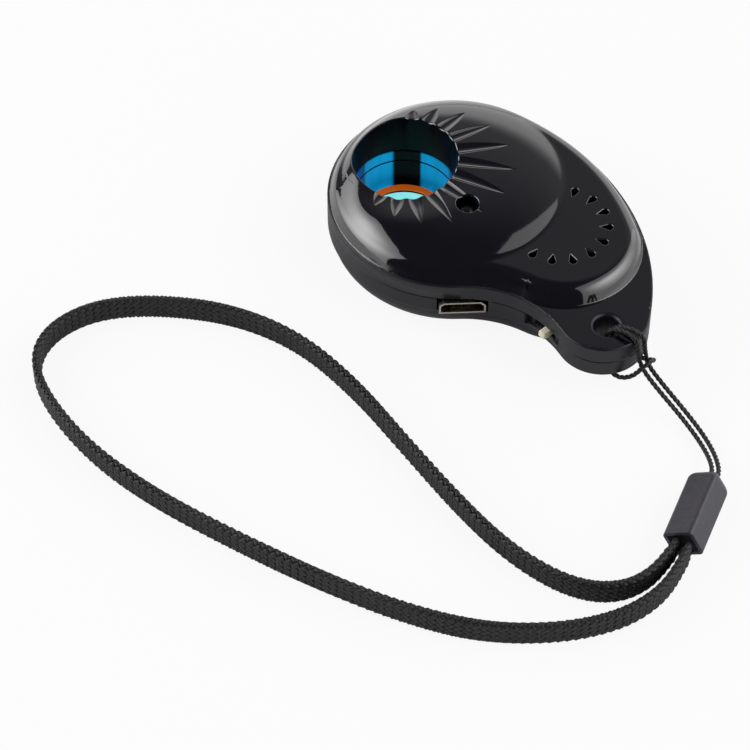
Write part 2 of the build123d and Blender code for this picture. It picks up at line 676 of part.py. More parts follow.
def switch_base():
    """Moulded strip at the back of the can that the knob's slider runs against."""
    middle = SWITCH_BACK + SWITCH_WIDTH - SWITCH_THICKNESS - SWITCH_BASE_WIDTH / 2
    return block(
        SWITCH_ROOM_LENGTH, SWITCH_BASE_WIDTH, SWITCH_ROOM_BOTTOM, SWITCH_ROOM_TOP, SWITCH_X, middle
    )


def switch_knob():
    """Cream knob on its slider, drawn at the tail end of its travel."""
    tip = waist_wall(SWITCH_X) - KNOB_LENGTH
    root = SWITCH_BACK + SWITCH_THICKNESS + FIT_GAP
    top = KNOB_BOTTOM + KNOB_HEIGHT
    knob = block(KNOB_WIDTH, root - tip, KNOB_BOTTOM, top, KNOB_REST_X, (root + tip) / 2)
    knob = fillet(knob.faces().sort_by(Axis.Y)[0].edges(), KNOB_EDGE_RADIUS)
    length = KNOB_WIDTH + 2 * SLIDER_MARGIN
    width = SWITCH_WIDTH - 2 * SWITCH_THICKNESS - SWITCH_BASE_WIDTH - 2 * FIT_GAP
    bottom = SWITCH_ROOM_BOTTOM + FIT_GAP
    top = SWITCH_ROOM_TOP - FIT_GAP
    return knob + block(length, width, bottom, top, KNOB_REST_X, root + width / 2)


def switch_pins():
    """Solder pins behind the can, bent over the board's edge."""
    y = SWITCH_BACK + SWITCH_WIDTH + PIN_LENGTH / 2
    places = (SWITCH_X - SWITCH_TRAVEL, SWITCH_X, SWITCH_X + SWITCH_TRAVEL)
    top = BOARD_TOP + PIN_THICKNESS
    return group(block(PIN_WIDTH, PIN_LENGTH, BOARD_TOP, top, x, y) for x in places)


# ---- circuit board --------------------------------------------------------------------------
def circuit_board():
    """Board that rests on the ledge inside the lower cover and is held down by the bosses."""
    board = WALLS.inset(WALL + BOARD_GAP).prism(BOARD_BOTTOM, BOARD_TOP)
    board -= cylinder(TUBE_OUTER + BOARD_GAP, 0, BIG, PORT_X, PORT_Y)
    board -= cylinder(EYELET_BOSS_RADIUS + BOARD_GAP, 0, BIG, EYELET_X, EYELET_Y)
    board -= socket_frame() * Box(2 * SOCKET_LENGTH + 2 * BOARD_GAP, SOCKET_WIDTH + 2 * FIT_GAP, BIG)
    switch_width = 2 * SWITCH_WIDTH + 2 * FIT_GAP
    board -= block(SWITCH_LENGTH + 2 * FIT_GAP, switch_width, 0, BIG, SWITCH_X, SWITCH_BACK)
    for x, y in SCREW_PLACES:
        board -= cylinder(SCREW_RADIUS + 2 * FIT_GAP, 0, BIG, x, y)
    return max(board.solids(), key=lambda solid: solid.volume)


def flash_lamps():
    """Round lamps under the board that shine out of the belly round the port."""
    lamps = []
    for x, y in LAMP_PLACES:
        lens = cylinder(LAMP_RADIUS, LAMP_BELLY_DEPTH, BOARD_BOTTOM, x, y)
        lens = fillet(at_height(lens, LAMP_BELLY_DEPTH), LAMP_TIP_RADIUS)
        flange = cylinder(LAMP_FLANGE_RADIUS, BOARD_BOTTOM - LAMP_FLANGE_HEIGHT, BOARD_BOTTOM, x, y)
        lamps.append(lens + flange)
    return group(lamps)


EMITTER_TIP = dome_height(EMITTER_X, EMITTER_Y) - WALL
EMITTER_FOOT = EMITTER_TIP - EMITTER_LAMP_LENGTH


def emitter_lamp():
    """Dark lamp just under the round hole in the dome."""
    lens = cylinder(LAMP_RADIUS, EMITTER_FOOT, EMITTER_TIP, EMITTER_X, EMITTER_Y)
    lens = fillet(at_height(lens, EMITTER_TIP), LAMP_TIP_RADIUS)
    flange_top = EMITTER_FOOT + LAMP_FLANGE_HEIGHT
    return lens + cylinder(LAMP_FLANGE_RADIUS, EMITTER_FOOT, flange_top, EMITTER_X, EMITTER_Y)


def lamp_spacer():
    """Sleeve that stands the emitter lamp off the board."""
    inner = LAMP_FLANGE_RADIUS - SPACER_WALL
    return tube(LAMP_FLANGE_RADIUS, inner, BOARD_TOP, EMITTER_FOOT, EMITTER_X, EMITTER_Y)


def on_board(length, width, height, lobe_x, lobe_y):
    """Block on top of the board, placed from the middle of the casing's lobe."""
    return block(length, width, BOARD_TOP, BOARD_TOP + height, LOBE.X + lobe_x, LOBE.Y + lobe_y)


def controller_chip():
    return on_board(CONTROLLER_WIDTH, CONTROLLER_WIDTH, CHIP_HEIGHT, CONTROLLER_LOBE_X, CONTROLLER_LOBE_Y)


def charger_chip():
    y = waist_wall(LOBE.X + CHARGER_LOBE_X, WALL) + CHARGER_WALL_DISTANCE
    return on_board(CHARGER_LENGTH, CHARGER_WIDTH, CHIP_HEIGHT, CHARGER_LOBE_X, y - LOBE.Y)


def receiver_chip():
    return on_board(RECEIVER_WIDTH, RECEIVER_WIDTH, CHIP_HEIGHT, RECEIVER_LOBE_X, RECEIVER_LOBE_Y)


def crystal():
    return on_board(CRYSTAL_LENGTH, CRYSTAL_WIDTH, CRYSTAL_HEIGHT, CRYSTAL_LOBE_X, CRYSTAL_LOBE_Y)


def small_parts():
    """Resistors and capacitors in two short rows."""
    last_x = SWITCH_X - SWITCH_LENGTH / 2 - SHORT_ROW_SWITCH_DISTANCE
    short_row_x = last_x - SMALL_PART_SPACING * (SHORT_ROW_COUNT - 1) - LOBE.X
    rows = (
        (LONG_ROW_COUNT, LONG_ROW_LOBE_X, LONG_ROW_LOBE_Y),
        (SHORT_ROW_COUNT, short_row_x, SHORT_ROW_LOBE_Y),
    )
    places = [(x + SMALL_PART_SPACING * i, y) for count, x, y in rows for i in range(count)]
    size = (SMALL_PART_WIDTH, SMALL_PART_LENGTH, SMALL_PART_HEIGHT)
    return group(on_board(*size, x, y) for x, y in places)


BUZZER_TOP = PILLOW_TOP - WALL
BUZZER_BOTTOM = BUZZER_TOP - BUZZER_HEIGHT


def buzzer_case():
    """Round sounder fixed under the pillow, open in the middle of its top."""
    room_radius = BUZZER_RADIUS - BUZZER_WALL
    room_bottom = BUZZER_BOTTOM + BUZZER_WALL
    room_top = BUZZER_TOP - BUZZER_WALL
    case = cylinder(BUZZER_RADIUS, BUZZER_BOTTOM, BUZZER_TOP, SOUND_X, SOUND_Y)
    case -= cylinder(room_radius, room_bottom, room_top, SOUND_X, SOUND_Y)
    return case - cylinder(BUZZER_MOUTH_RADIUS, room_bottom, BIG, SOUND_X, SOUND_Y)


def buzzer_disc():
    """Brass disc inside the sounder, resting on its floor."""
    radius = BUZZER_RADIUS - BUZZER_WALL - DISC_GAP
    bottom = BUZZER_BOTTOM + BUZZER_WALL
    return cylinder(radius, bottom, bottom + DISC_THICKNESS, SOUND_X, SOUND_Y)


CELL_TOP = BOARD_BOTTOM - PAD_THICKNESS


def battery_pad():
    length = BATTERY_LENGTH - 2 * PAD_INSET
    return block(length, BATTERY_WIDTH - 2 * PAD_INSET, CELL_TOP, BOARD_BOTTOM, BATTERY_X, BATTERY_Y)


def battery_cell():
    """Flat cell taped under the board."""
    bottom = CELL_TOP - BATTERY_THICKNESS
    cell = block(BATTERY_LENGTH, BATTERY_WIDTH, bottom, CELL_TOP, BATTERY_X, BATTERY_Y)
    return fillet(cell.edges().filter_by(Axis.X), BATTERY_EDGE_RADIUS)


def battery_lead(side):
    """One lead from the cell's end, up past the pad, to a solder point under the board."""
    y = BATTERY_Y + side * LEAD_SPACING / 2
    start = BATTERY_X - BATTERY_LENGTH / 2
    end = start - LEAD_LENGTH
    middle = CELL_TOP - BATTERY_THICKNESS / 2
    corners = ((start, y, middle), (end, y, middle), (end, y, BOARD_BOTTOM))
    path = FilletPolyline(*corners, radius=LEAD_BEND_RADIUS)
    return sweep(Plane(origin=path @ 0, z_dir=path % 0) * Circle(LEAD_RADIUS), path=path)


def case_screws():
    """Cross-head screws driven from the belly into the upper cover's bosses."""
    head_bottom = SCREW_SEAT - SCREW_HEAD_HEIGHT
    screws = []
    for x, y in SCREW_PLACES:
        head = cylinder(SCREW_HEAD_RADIUS, head_bottom, SCREW_SEAT, x, y)
        for turn in (0, 90):
            head -= block(CROSS_LENGTH, CROSS_WIDTH, 0, head_bottom + CROSS_DEPTH, x, y, turn)
        screws.append(head + cylinder(SCREW_RADIUS, SCREW_SEAT, SCREW_SEAT + SCREW_LENGTH, x, y))
    return group(screws)


# ---- lanyard --------------------------------------------------------------------------------
STRING_ROUTE = (
    (54.9, -7.4, 3.2), (53.5, -4.9, 2.7), (51.3, -3.1, 2.0), (48.4, -1.6, 1.3), (45.0, -0.5, 1.1),
    (41.2, 0.0, 1.8), (37.6, -0.1, 3.2), (34.6, -0.3, 4.8), (32.8, -0.5, 6.4), (32.2, -0.7, 9.0),
    (31.9, -0.8, 11.6), (30.7, -1.1, 12.5), (28.9, -1.6, 12.3), (27.4, -2.0, 11.7), (26.6, -2.2, 10.2),
    (26.3, -2.3, 7.4), (26.6, -2.5, 5.2), (27.7, -3.0, 4.3), (29.8, -3.7, 4.3), (31.6, -3.4, 4.5),
    (33.0, -2.4, 5.4), (33.7, -1.2, 6.9), (33.9, 0.2, 7.5), (33.6, 1.6, 6.8), (32.8, 2.5, 5.3),
    (31.4, 2.5, 4.4), (29.4, 1.4, 4.2), (27.8, 0.0, 4.3), (26.8, -0.8, 5.2), (26.5, -1.1, 7.4),
    (26.8, -1.0, 10.2), (27.6, -0.8, 11.6), (29.2, -0.4, 12.2), (31.0, 0.1, 12.5), (32.2, 0.5, 11.5),
    (32.4, 0.6, 9.0), (33.1, 0.7, 6.3), (34.9, 0.9, 4.8), (37.9, 1.1, 3.2), (41.5, 1.1, 1.9),
    (45.3, 0.6, 1.2), (48.9, -0.6, 1.4), (52.0, -2.3, 2.0), (54.4, -4.3, 2.7), (55.8, -7.0, 3.2),
)
STRAP_ROUTE = (
    (59.6, -19.0), (60.6, -22.3), (61.2, -26.6), (60.2, -31.0), (56.9, -34.8), (51.3, -37.4),
    (42.5, -38.8), (31.0, -38.3), (18.0, -36.8), (4.5, -35.1), (-9.0, -35.4), (-20.5, -39.7),
    (-30.0, -47.5), (-35.8, -55.5), (-37.0, -63.5), (-34.0, -69.8), (-26.5, -73.2), (-14.0, -74.5),
    (-0.5, -72.7), (14.0, -68.6), (29.0, -63.5), (42.0, -57.9), (52.0, -51.6), (59.5, -43.2),
    (63.6, -35.2), (64.6, -28.5), (63.5, -22.8), (61.4, -18.2),
)


def route_radii(points):
    """Largest arc at each inner point: 0.45 of the shorter run over the tangent of half the turn."""
    radii = []
    for before, here, after in zip(points, points[1:], points[2:]):
        run_in = Vector(*here) - Vector(*before)
        run_out = Vector(*after) - Vector(*here)
        turn = radians(run_in.get_angle(run_out))
        radii.append(0.45 * min(run_in.length, run_out.length) / tan(turn / 2))
    return radii


def route_path(name, points):
    """Straight runs joined by tangent arcs; prints the length and the tightest arcs."""
    radii = route_radii(points)
    path = FilletPolyline(*points, radius=radii)
    tight = ", ".join(f"{radius:.1f}" for radius in radii)
    print(f"{name}: {path.length:.1f} mm long, radii {tight}")
    return path


def lanyard_string():
    """Thin cord hitched through the eyelet, with both its ends in the clasp's nose."""
    path = route_path("lanyard_string", STRING_ROUTE)
    section = Plane(origin=path @ 0, z_dir=path % 0) * Circle(STRING_DIAMETER / 2)
    return sweep(section, path=path)


def wrist_strap():
    """Flat braided strap standing on its edge, with both its ends at the clasp's mouth."""
    middle = FLOOR_GAP + STRAP_WIDTH / 2
    points = [(x, y, middle) for x, y in STRAP_ROUTE]
    path = route_path("wrist_strap", points)
    start = Plane(origin=path @ 0, x_dir=(0, 0, 1), z_dir=path % 0)
    return sweep(start * Rectangle(STRAP_WIDTH, STRAP_THICKNESS), path=path)


def lanyard_clasp():
    """Rounded end cap over the strap's ends, lying rolled on one of its long edges."""
    cap = Pos(CLASP_LENGTH / 2, 0, 0) * Box(CLASP_LENGTH, CLASP_WIDTH, CLASP_HEIGHT)
    cap = fillet(cap.edges().filter_by(Axis.X), CLASP_EDGE_RADIUS)
    cap = fillet(cap.faces().sort_by(Axis.X)[0].edges(), CLASP_NOSE_RADIUS)
    mouth = Box(2 * CLASP_MOUTH_DEPTH, CLASP_WIDTH - 2 * CLASP_WALL, CLASP_HEIGHT - 2 * CLASP_WALL)
    cap -= Pos(CLASP_LENGTH, 0, 0) * mouth
    cap = Rot(0, 0, CLASP_HEADING_ANGLE) * Rot(CLASP_ROLL_ANGLE, 0, 0) * cap
    cap = Pos(CLASP_NOSE_X, CLASP_NOSE_Y, -cap.bounding_box().min.Z) * cap
    for end, beyond in (STRING_ROUTE[:2], STRING_ROUTE[:-3:-1]):
        run = Vector(*beyond) - Vector(*end)
        bore = extrude(Plane(origin=end, z_dir=run) * Circle(STRING_DIAMETER / 2 + FIT_GAP), run.length)
        cap -= bore
    return cap


# ---- writing --------------------------------------------------------------------------------
CASING_PARTS = {
    "upper_cover": upper_cover,
    "lower_cover": lower_cover,
    "viewing_tube": viewing_tube,
    "filter_glass": filter_glass,
    "filter_ring": filter_ring,
    "socket_shell": socket_shell,
    "socket_tongue": socket_tongue,
    "socket_contacts": socket_contacts,
    "switch_can": switch_can,
    "switch_base": switch_base,
    "switch_knob": switch_knob,
    "switch_pins": switch_pins,
    "circuit_board": circuit_board,
    "flash_lamps": flash_lamps,
    "emitter_lamp": emitter_lamp,
    "lamp_spacer": lamp_spacer,
    "controller_chip": controller_chip,
    "charger_chip": charger_chip,
    "receiver_chip": receiver_chip,
    "small_parts": small_parts,
    "crystal": crystal,
    "buzzer_case": buzzer_case,
    "buzzer_disc": buzzer_disc,
    "battery_pad": battery_pad,
    "battery_cell": battery_cell,
    "battery_lead_red": lambda: battery_lead(1),
    "battery_lead_black": lambda: battery_lead(-1),
    "case_screws": case_screws,
}
LANYARD_PARTS = {
    "lanyard_string": lanyard_string,
    "lanyard_clasp": lanyard_clasp,
    "wrist_strap": wrist_strap,
}


def write(name, shape, origin=Vector(0, 0, 0)):
    """Write a node's solids, moved from the head's frame to the finder's origin."""
    solids = [Pos(origin) * solid for solid in shape.solids()]
    export_step(solids[0] if len(solids) == 1 else Compound(solids), f"parts/{name}.step")


def main():
    os.makedirs("parts", exist_ok=True)
    for name, make in CASING_PARTS.items():
        write(name, make(), Vector(HEAD_AT_X, HEAD_AT_Y))
    for name, make in LANYARD_PARTS.items():
        write(name, make())


main()
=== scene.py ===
"""Pocket camera finder on a wrist strap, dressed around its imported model.

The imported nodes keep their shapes. This script gives each one its finish, smooths the moulded
covers, lathes the port's liner, ties the cord and the braided strap along their routes, and sets
up the camera, the lamps and the floor. Lengths are metres unless a name says millimetres.
"""

import logging
import math
from dataclasses import dataclass, field
from enum import Enum
from typing import Any, Callable, Mapping, Sequence, Union

import bmesh
import bpy
import numpy as np
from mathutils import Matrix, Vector
from mathutils.geometry import delaunay_2d_cdt


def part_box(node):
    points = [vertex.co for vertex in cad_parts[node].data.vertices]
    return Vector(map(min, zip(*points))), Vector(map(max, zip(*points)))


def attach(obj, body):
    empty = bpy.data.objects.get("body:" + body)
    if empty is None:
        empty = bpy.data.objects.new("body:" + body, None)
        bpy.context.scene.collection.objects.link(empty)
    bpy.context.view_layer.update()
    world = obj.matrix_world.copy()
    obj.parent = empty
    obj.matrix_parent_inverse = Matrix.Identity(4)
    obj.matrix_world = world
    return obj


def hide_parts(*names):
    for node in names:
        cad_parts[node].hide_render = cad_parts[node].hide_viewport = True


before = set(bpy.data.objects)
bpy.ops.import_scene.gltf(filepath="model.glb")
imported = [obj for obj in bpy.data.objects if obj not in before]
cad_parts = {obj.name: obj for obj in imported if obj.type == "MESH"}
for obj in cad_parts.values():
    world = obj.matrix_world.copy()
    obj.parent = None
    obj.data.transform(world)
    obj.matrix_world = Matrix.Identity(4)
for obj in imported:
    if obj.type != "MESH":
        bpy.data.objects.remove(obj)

LOG = logging.getLogger("finder")
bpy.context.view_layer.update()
MM = 0.001
Point = tuple[float, float, float]
Colour = tuple[float, float, float, float]
Stretch = tuple[float, float]
WHITE: Colour = (1.0, 1.0, 1.0, 1.0)
Operand = Union[float, int, "Value", "Arrow", Sequence[float], bpy.types.NodeSocket]


# ---- node graphs ----------------------------------------------------------------------------
def operator(operation: str, swapped: bool = False) -> Callable[["Value", Operand], "Value"]:
    """An arithmetic operator that adds a math node, with its operands swapped where asked.

    Args:
        operation: The math node's operation.
        swapped: Whether the other operand comes first.

    Returns:
        A method that takes the other operand and gives the result.
    """

    def apply(value: "Value", other: Operand) -> "Value":
        """The operator itself."""
        pair = (other, value) if swapped else (value, other)
        return value.graph.math(operation, *pair)

    return apply


@dataclass(frozen=True)
class Value:
    """A number in a node tree, which takes ordinary arithmetic."""

    graph: "Graph"
    socket: bpy.types.NodeSocket

    __add__ = operator("ADD")
    __radd__ = operator("ADD", swapped=True)
    __sub__ = operator("SUBTRACT")
    __rsub__ = operator("SUBTRACT", swapped=True)
    __mul__ = operator("MULTIPLY")
    __truediv__ = operator("DIVIDE")


@dataclass(frozen=True)
class Arrow:
    """A vector in a node tree, which adds to others and scales."""

    graph: "Graph"
    socket: bpy.types.NodeSocket

    def __add__(self, other: Operand) -> "Arrow":
        """The sum with another vector."""
        return self.graph.vector("ADD", self, other)

    def __mul__(self, factor: Operand) -> "Arrow":
        """The vector scaled by a factor."""
        return self.graph.scaled(self, factor)

    def cross(self, other: "Arrow") -> "Arrow":
        """The cross product with another vector."""
        return self.graph.vector("CROSS_PRODUCT", self, other)

    def parts(self) -> tuple["Value", "Value", "Value"]:
        """The arrow's X, Y and Z."""
        outputs = self.graph.add("ShaderNodeSeparateXYZ", {0: self.socket}).outputs
        return tuple(Value(self.graph, socket) for socket in outputs)

    def unit(self) -> "Arrow":
        """The same direction at length 1."""
        return self.graph.vector("NORMALIZE", self)


@dataclass
class Graph:
    """A shader or geometry node tree under construction."""

    tree: bpy.types.NodeTree

    def feed(self, socket: bpy.types.NodeSocket, value: Operand) -> None:
        """Link or set one input socket.

        Args:
            socket: The input to fill.
            value: A value of this graph, a socket, or a constant.
        """
        if isinstance(value, (Value, Arrow)):
            value = value.socket
        if isinstance(value, bpy.types.NodeSocket):
            self.tree.links.new(value, socket)
        else:
            socket.default_value = value

    def add(
        self, kind: str, inputs: Mapping[Union[str, int], Operand] | None = None, **settings: Any
    ) -> bpy.types.Node:
        """Add a node.

        Args:
            kind: The node's type name.
            inputs: Values by socket name or index.
            settings: Properties of the node.

        Returns:
            The new node.
        """
        node = self.tree.nodes.new(kind)
        for key, value in settings.items():
            setattr(node, key, value)
        for key, value in (inputs or {}).items():
            self.feed(node.inputs[key], value)
        return node

    def math(self, operation: str, *values: Operand) -> Value:
        """A math node's result."""
        node = self.add("ShaderNodeMath", dict(enumerate(values)), operation=operation)
        return Value(self, node.outputs[0])

    def vector(self, operation: str, *values: Operand) -> Arrow:
        """A vector math node's vector result."""
        node = self.add("ShaderNodeVectorMath", dict(enumerate(values)), operation=operation)
        return Arrow(self, node.outputs["Vector"])

    def scaled(self, arrow: Arrow, factor: Operand) -> Arrow:
        """A vector times a number."""
        node = self.add("ShaderNodeVectorMath", {0: arrow, "Scale": factor}, operation="SCALE")
        return Arrow(self, node.outputs["Vector"])

    def sine(self, angle: Operand) -> Value:
        """Sine of an angle in radians."""
        return self.math("SINE", angle)

    def cosine(self, angle: Operand) -> Value:
        """Cosine of an angle in radians."""
        return self.math("COSINE", angle)

    def clamped(self, value: Operand, low: Operand, high: Operand) -> Value:
        """A number kept between two others."""
        return self.math("MINIMUM", self.math("MAXIMUM", value, low), high)

    def ramp(
        self, factor: Operand, first: Colour, last: Colour, spread: Stretch = (0.0, 1.0)
    ) -> bpy.types.NodeSocket:
        """Colours that pass from one to another over a stretch of a factor.

        Args:
            factor: Where along the ramp.
            first: The colour at its start.
            last: The colour at its end.
            spread: Where the start and the end are.

        Returns:
            The colour output.
        """
        node = self.add("ShaderNodeValToRGB", {"Fac": factor})
        for element, place, colour in zip(node.color_ramp.elements, spread, (first, last)):
            element.position = place
            element.color = colour
        return node.outputs["Color"]

    def smooth(self, value: Operand, low: float, high: float) -> Value:
        """How far a number has passed from one edge to another, from 0 to 1, with soft ends.

        Args:
            value: The number.
            low: Where the way starts.
            high: Where the way ends.

        Returns:
            The share of the way, between 0 and 1.
        """
        inputs = {"Value": value, "From Min": low, "From Max": high}
        node = self.add("ShaderNodeMapRange", inputs, interpolation_type="SMOOTHSTEP")
        return Value(self, node.outputs["Result"])

    def share(self, value: Operand, low: float, high: float) -> Value:
        """How far a number has passed from one edge to another, from 0 to 1, at a steady rise."""
        inputs = {"Value": value, "From Min": low, "From Max": high}
        return Value(self, self.add("ShaderNodeMapRange", inputs).outputs["Result"])

    def chart(self, kind: str, vector_type: str = "POINT", **mapping: Point) -> Arrow:
        """Texture coordinates of one kind, moved, turned and scaled by a mapping.

        Args:
            kind: The coordinates' name.
            vector_type: The mapping's own kind.
            mapping: Its location, rotation and scale, where it has them.

        Returns:
            The mapped coordinates.
        """
        place = self.add("ShaderNodeTexCoord").outputs[kind]
        node = self.add("ShaderNodeMapping", {"Vector": place, **mapping}, vector_type=vector_type)
        return Arrow(self, node.outputs["Vector"])

    def joined(self, x: Operand, y: Operand, z: Operand) -> Arrow:
        """A vector from its three parts."""
        return Arrow(self, self.add("ShaderNodeCombineXYZ", {"X": x, "Y": y, "Z": z}).outputs[0])

    def seen(self) -> Value:
        """1 for rays that show a surface straight or through a clear piece, 0 for all others."""
        rays = self.add("ShaderNodeLightPath").outputs
        return self.math("MAXIMUM", rays["Is Camera Ray"], rays["Is Transmission Ray"])


# ---- finishes -------------------------------------------------------------------------------
@dataclass(frozen=True)
class Finish:
    """What every finish shares: a name, a colour and a gloss."""

    name: str
    colour: Colour
    roughness: float

    def start(self, **constants: Any) -> tuple[bpy.types.Material, Graph, bpy.types.Node]:
        """A new material with one Principled shader.

        Args:
            constants: Values for the shader's own sockets, with spaces as underscores.

        Returns:
            The material, its graph and the shader node.
        """
        material = bpy.data.materials.new(self.name)
        material.use_nodes = True
        graph = Graph(material.node_tree)
        shader = material.node_tree.nodes["Principled BSDF"]
        shader.inputs["Base Color"].default_value = self.colour
        shader.inputs["Roughness"].default_value = self.roughness
        for key, value in constants.items():
            shader.inputs[key.replace("_", " ")].default_value = value
        return material, graph, shader

    def toned(self, factor: float) -> Colour:
        """The colour made lighter or darker by a factor."""
        return tuple(min(1.0, part * factor) for part in self.colour[:3]) + (1.0,)

    def noise(
        self, graph: Graph, scale: float, detail: float = 2.0, stretch: Point = (1, 1, 1)
    ) -> Value:
        """Noise on the piece's own coordinates.

        Args:
            graph: The material's graph.
            scale: Features per metre.
            detail: Octaves.
            stretch: Scale factors along X, Y and Z.

        Returns:
            The noise factor, about 0.5 on average.
        """
        inputs = {"Vector": graph.chart("Object", Scale=stretch), "Scale": scale, "Detail": detail}
        return Value(graph, graph.add("ShaderNodeTexNoise", inputs).outputs["Fac"])

    def shade(
        self, graph: Graph, shader: bpy.types.Node, colour: Operand, roughness: Operand
    ) -> None:
        """Feed the shader its colour and its roughness, which vary over the piece."""
        graph.feed(shader.inputs["Base Color"], colour)
        graph.feed(shader.inputs["Roughness"], roughness)

    def bump(self, graph: Graph, shader: bpy.types.Node, height: Operand, depth: float) -> None:
        """Raise the shading by a height field of a real depth in metres."""
        node = graph.add("ShaderNodeBump", {"Height": height, "Distance": depth, "Strength": 1.0})
        graph.feed(shader.inputs["Normal"], node.outputs["Normal"])

    def material(self) -> bpy.types.Material:
        """The finish as a material."""
        raise NotImplementedError


@dataclass(frozen=True)
class Moulded(Finish):
    """Moulded plastic: a skin with a faint waviness and a little haze."""

    skin_scale: float = 260.0
    skin_depth: float = 0.00002
    haze: float = 0.04
    tone: float = 1.25
    coat: float = 0.0
    coat_roughness: float = 0.04
    specular: float = 0.5
    # Emission strength: a painted glow, for a part that is no lamp.
    glow: float = 0.0
    spread: Stretch = (0.35, 0.7)
    fine_ratio: float = 14.0
    fine_share: float = 0.1

    def material(self) -> bpy.types.Material:
        """The moulded plastic as a material.

        Returns:
            The material, ready to assign.
        """
        material, graph, shader = self.start(
            Coat_Weight=self.coat,
            Coat_Roughness=self.coat_roughness,
            Specular_IOR_Level=self.specular,
            Emission_Color=self.colour,
            Emission_Strength=self.glow,
        )
        broad = self.noise(graph, self.skin_scale)
        fine = self.noise(graph, self.skin_scale * self.fine_ratio, 4.0)
        colour = graph.ramp(broad, self.colour, self.toned(self.tone), self.spread)
        self.shade(graph, shader, colour, self.roughness + fine * self.haze)
        self.bump(graph, shader, broad + fine * self.fine_share, self.skin_depth)
        return material


@dataclass(frozen=True)
class Metal(Finish):
    """Sheet or turned metal with fine drawing lines and faint stains."""

    grain: float = 900.0
    stretch: Point = (1.0, 1.0, 9.0)
    stain_tone: float = 0.78
    spread: Stretch = (0.35, 0.6)
    line_haze: float = 0.16
    line_depth: float = 0.000006

    def material(self) -> bpy.types.Material:
        """The metal as a material.

        Returns:
            The material, ready to assign.
        """
        material, graph, shader = self.start(Metallic=1.0)
        lines = self.noise(graph, self.grain, 3.0, self.stretch)
        stain = self.noise(graph, self.grain / 3)
        colour = graph.ramp(stain, self.toned(self.stain_tone), self.colour, self.spread)
        self.shade(graph, shader, colour, self.roughness + lines * self.line_haze)
        self.bump(graph, shader, lines, self.line_depth)
        return material


@dataclass(frozen=True)
class Glass(Finish):
    """Clear or tinted glass or epoxy, with faint streaks in its polish."""

    index: float = 1.5
    clarity: float = 1.0
    streak_scale: float = 700.0
    streak_tone: float = 0.86
    streak_haze: float = 0.03
    spread: Stretch = (0.3, 0.7)

    def material(self) -> bpy.types.Material:
        """The glass as a material.

        Returns:
            The material, ready to assign.
        """
        material, graph, shader = self.start(IOR=self.index, Transmission_Weight=self.clarity)
        streaks = self.noise(graph, self.streak_scale, 3.0)
        colour = graph.ramp(streaks, self.toned(self.streak_tone), self.colour, self.spread)
        self.shade(graph, shader, colour, self.roughness + streaks * self.streak_haze)
        return material


@dataclass(frozen=True)
class Yarn(Finish):
    """Spun yarn: filaments that run along the piece's U, with lighter worn crowns."""

    light: Colour
    filaments: float
    sheen: float = 0.25
    patch_scale: float = 420.0
    patch_share: float = 0.3
    strand_gloss: float = 0.12
    strand_depth: float = 0.00004
    spread: Stretch = (0.35, 0.65)

    def material(self) -> bpy.types.Material:
        """The yarn as a material.

        Returns:
            The material, ready to assign.
        """
        material, graph, shader = self.start(Sheen_Weight=self.sheen, Sheen_Roughness=0.4)
        chart = graph.chart("UV", Scale=(1.0, self.filaments, 1.0))
        inputs = {"Vector": chart, "Scale": 1.0, "Detail": 3.0, "Distortion": 0.6}
        strands = Value(graph, graph.add("ShaderNodeTexNoise", inputs).outputs["Fac"])
        patches = self.noise(graph, self.patch_scale)
        mixed = strands * (1 - self.patch_share) + patches * self.patch_share
        colour = graph.ramp(graph.share(mixed, *self.spread), self.colour, self.light)
        self.shade(graph, shader, colour, self.roughness - strands * self.strand_gloss)
        self.bump(graph, shader, strands, self.strand_depth)
        return material


@dataclass(frozen=True)
class Laminate(Finish):
    """Circuit board: solder mask over a pattern of copper runs."""

    copper: Colour
    run_scale: float = 900.0
    run_gap: float = 0.09
    fine_scale: float = 2500.0
    run_depth: float = 0.00002

    def material(self) -> bpy.types.Material:
        """The board as a material.

        Returns:
            The material, ready to assign.
        """
        material, graph, shader = self.start()
        inputs = {"Color1": self.colour, "Color2": self.copper, "Mortar": self.colour}
        inputs |= {"Scale": self.run_scale, "Mortar Size": self.run_gap}
        inputs["Vector"] = graph.chart("Object")
        runs = graph.add("ShaderNodeTexBrick", inputs)
        fine = self.noise(graph, self.fine_scale)
        self.shade(graph, shader, runs.outputs["Color"], self.roughness + fine * 0.1)
        self.bump(graph, shader, graph.math("ADD", runs.outputs["Fac"], fine * 0.2), self.run_depth)
        return material


@dataclass(frozen=True)
class Band:
    """A soft-edged upright band across the bore, its edges as shares of the radius."""

    inner: Stretch
    outer: Stretch

    def cover(self, graph: Graph, share: Value) -> Value:
        """How much of a place the band covers."""
        return graph.smooth(share, *self.inner) * graph.smooth(share, *self.outer)


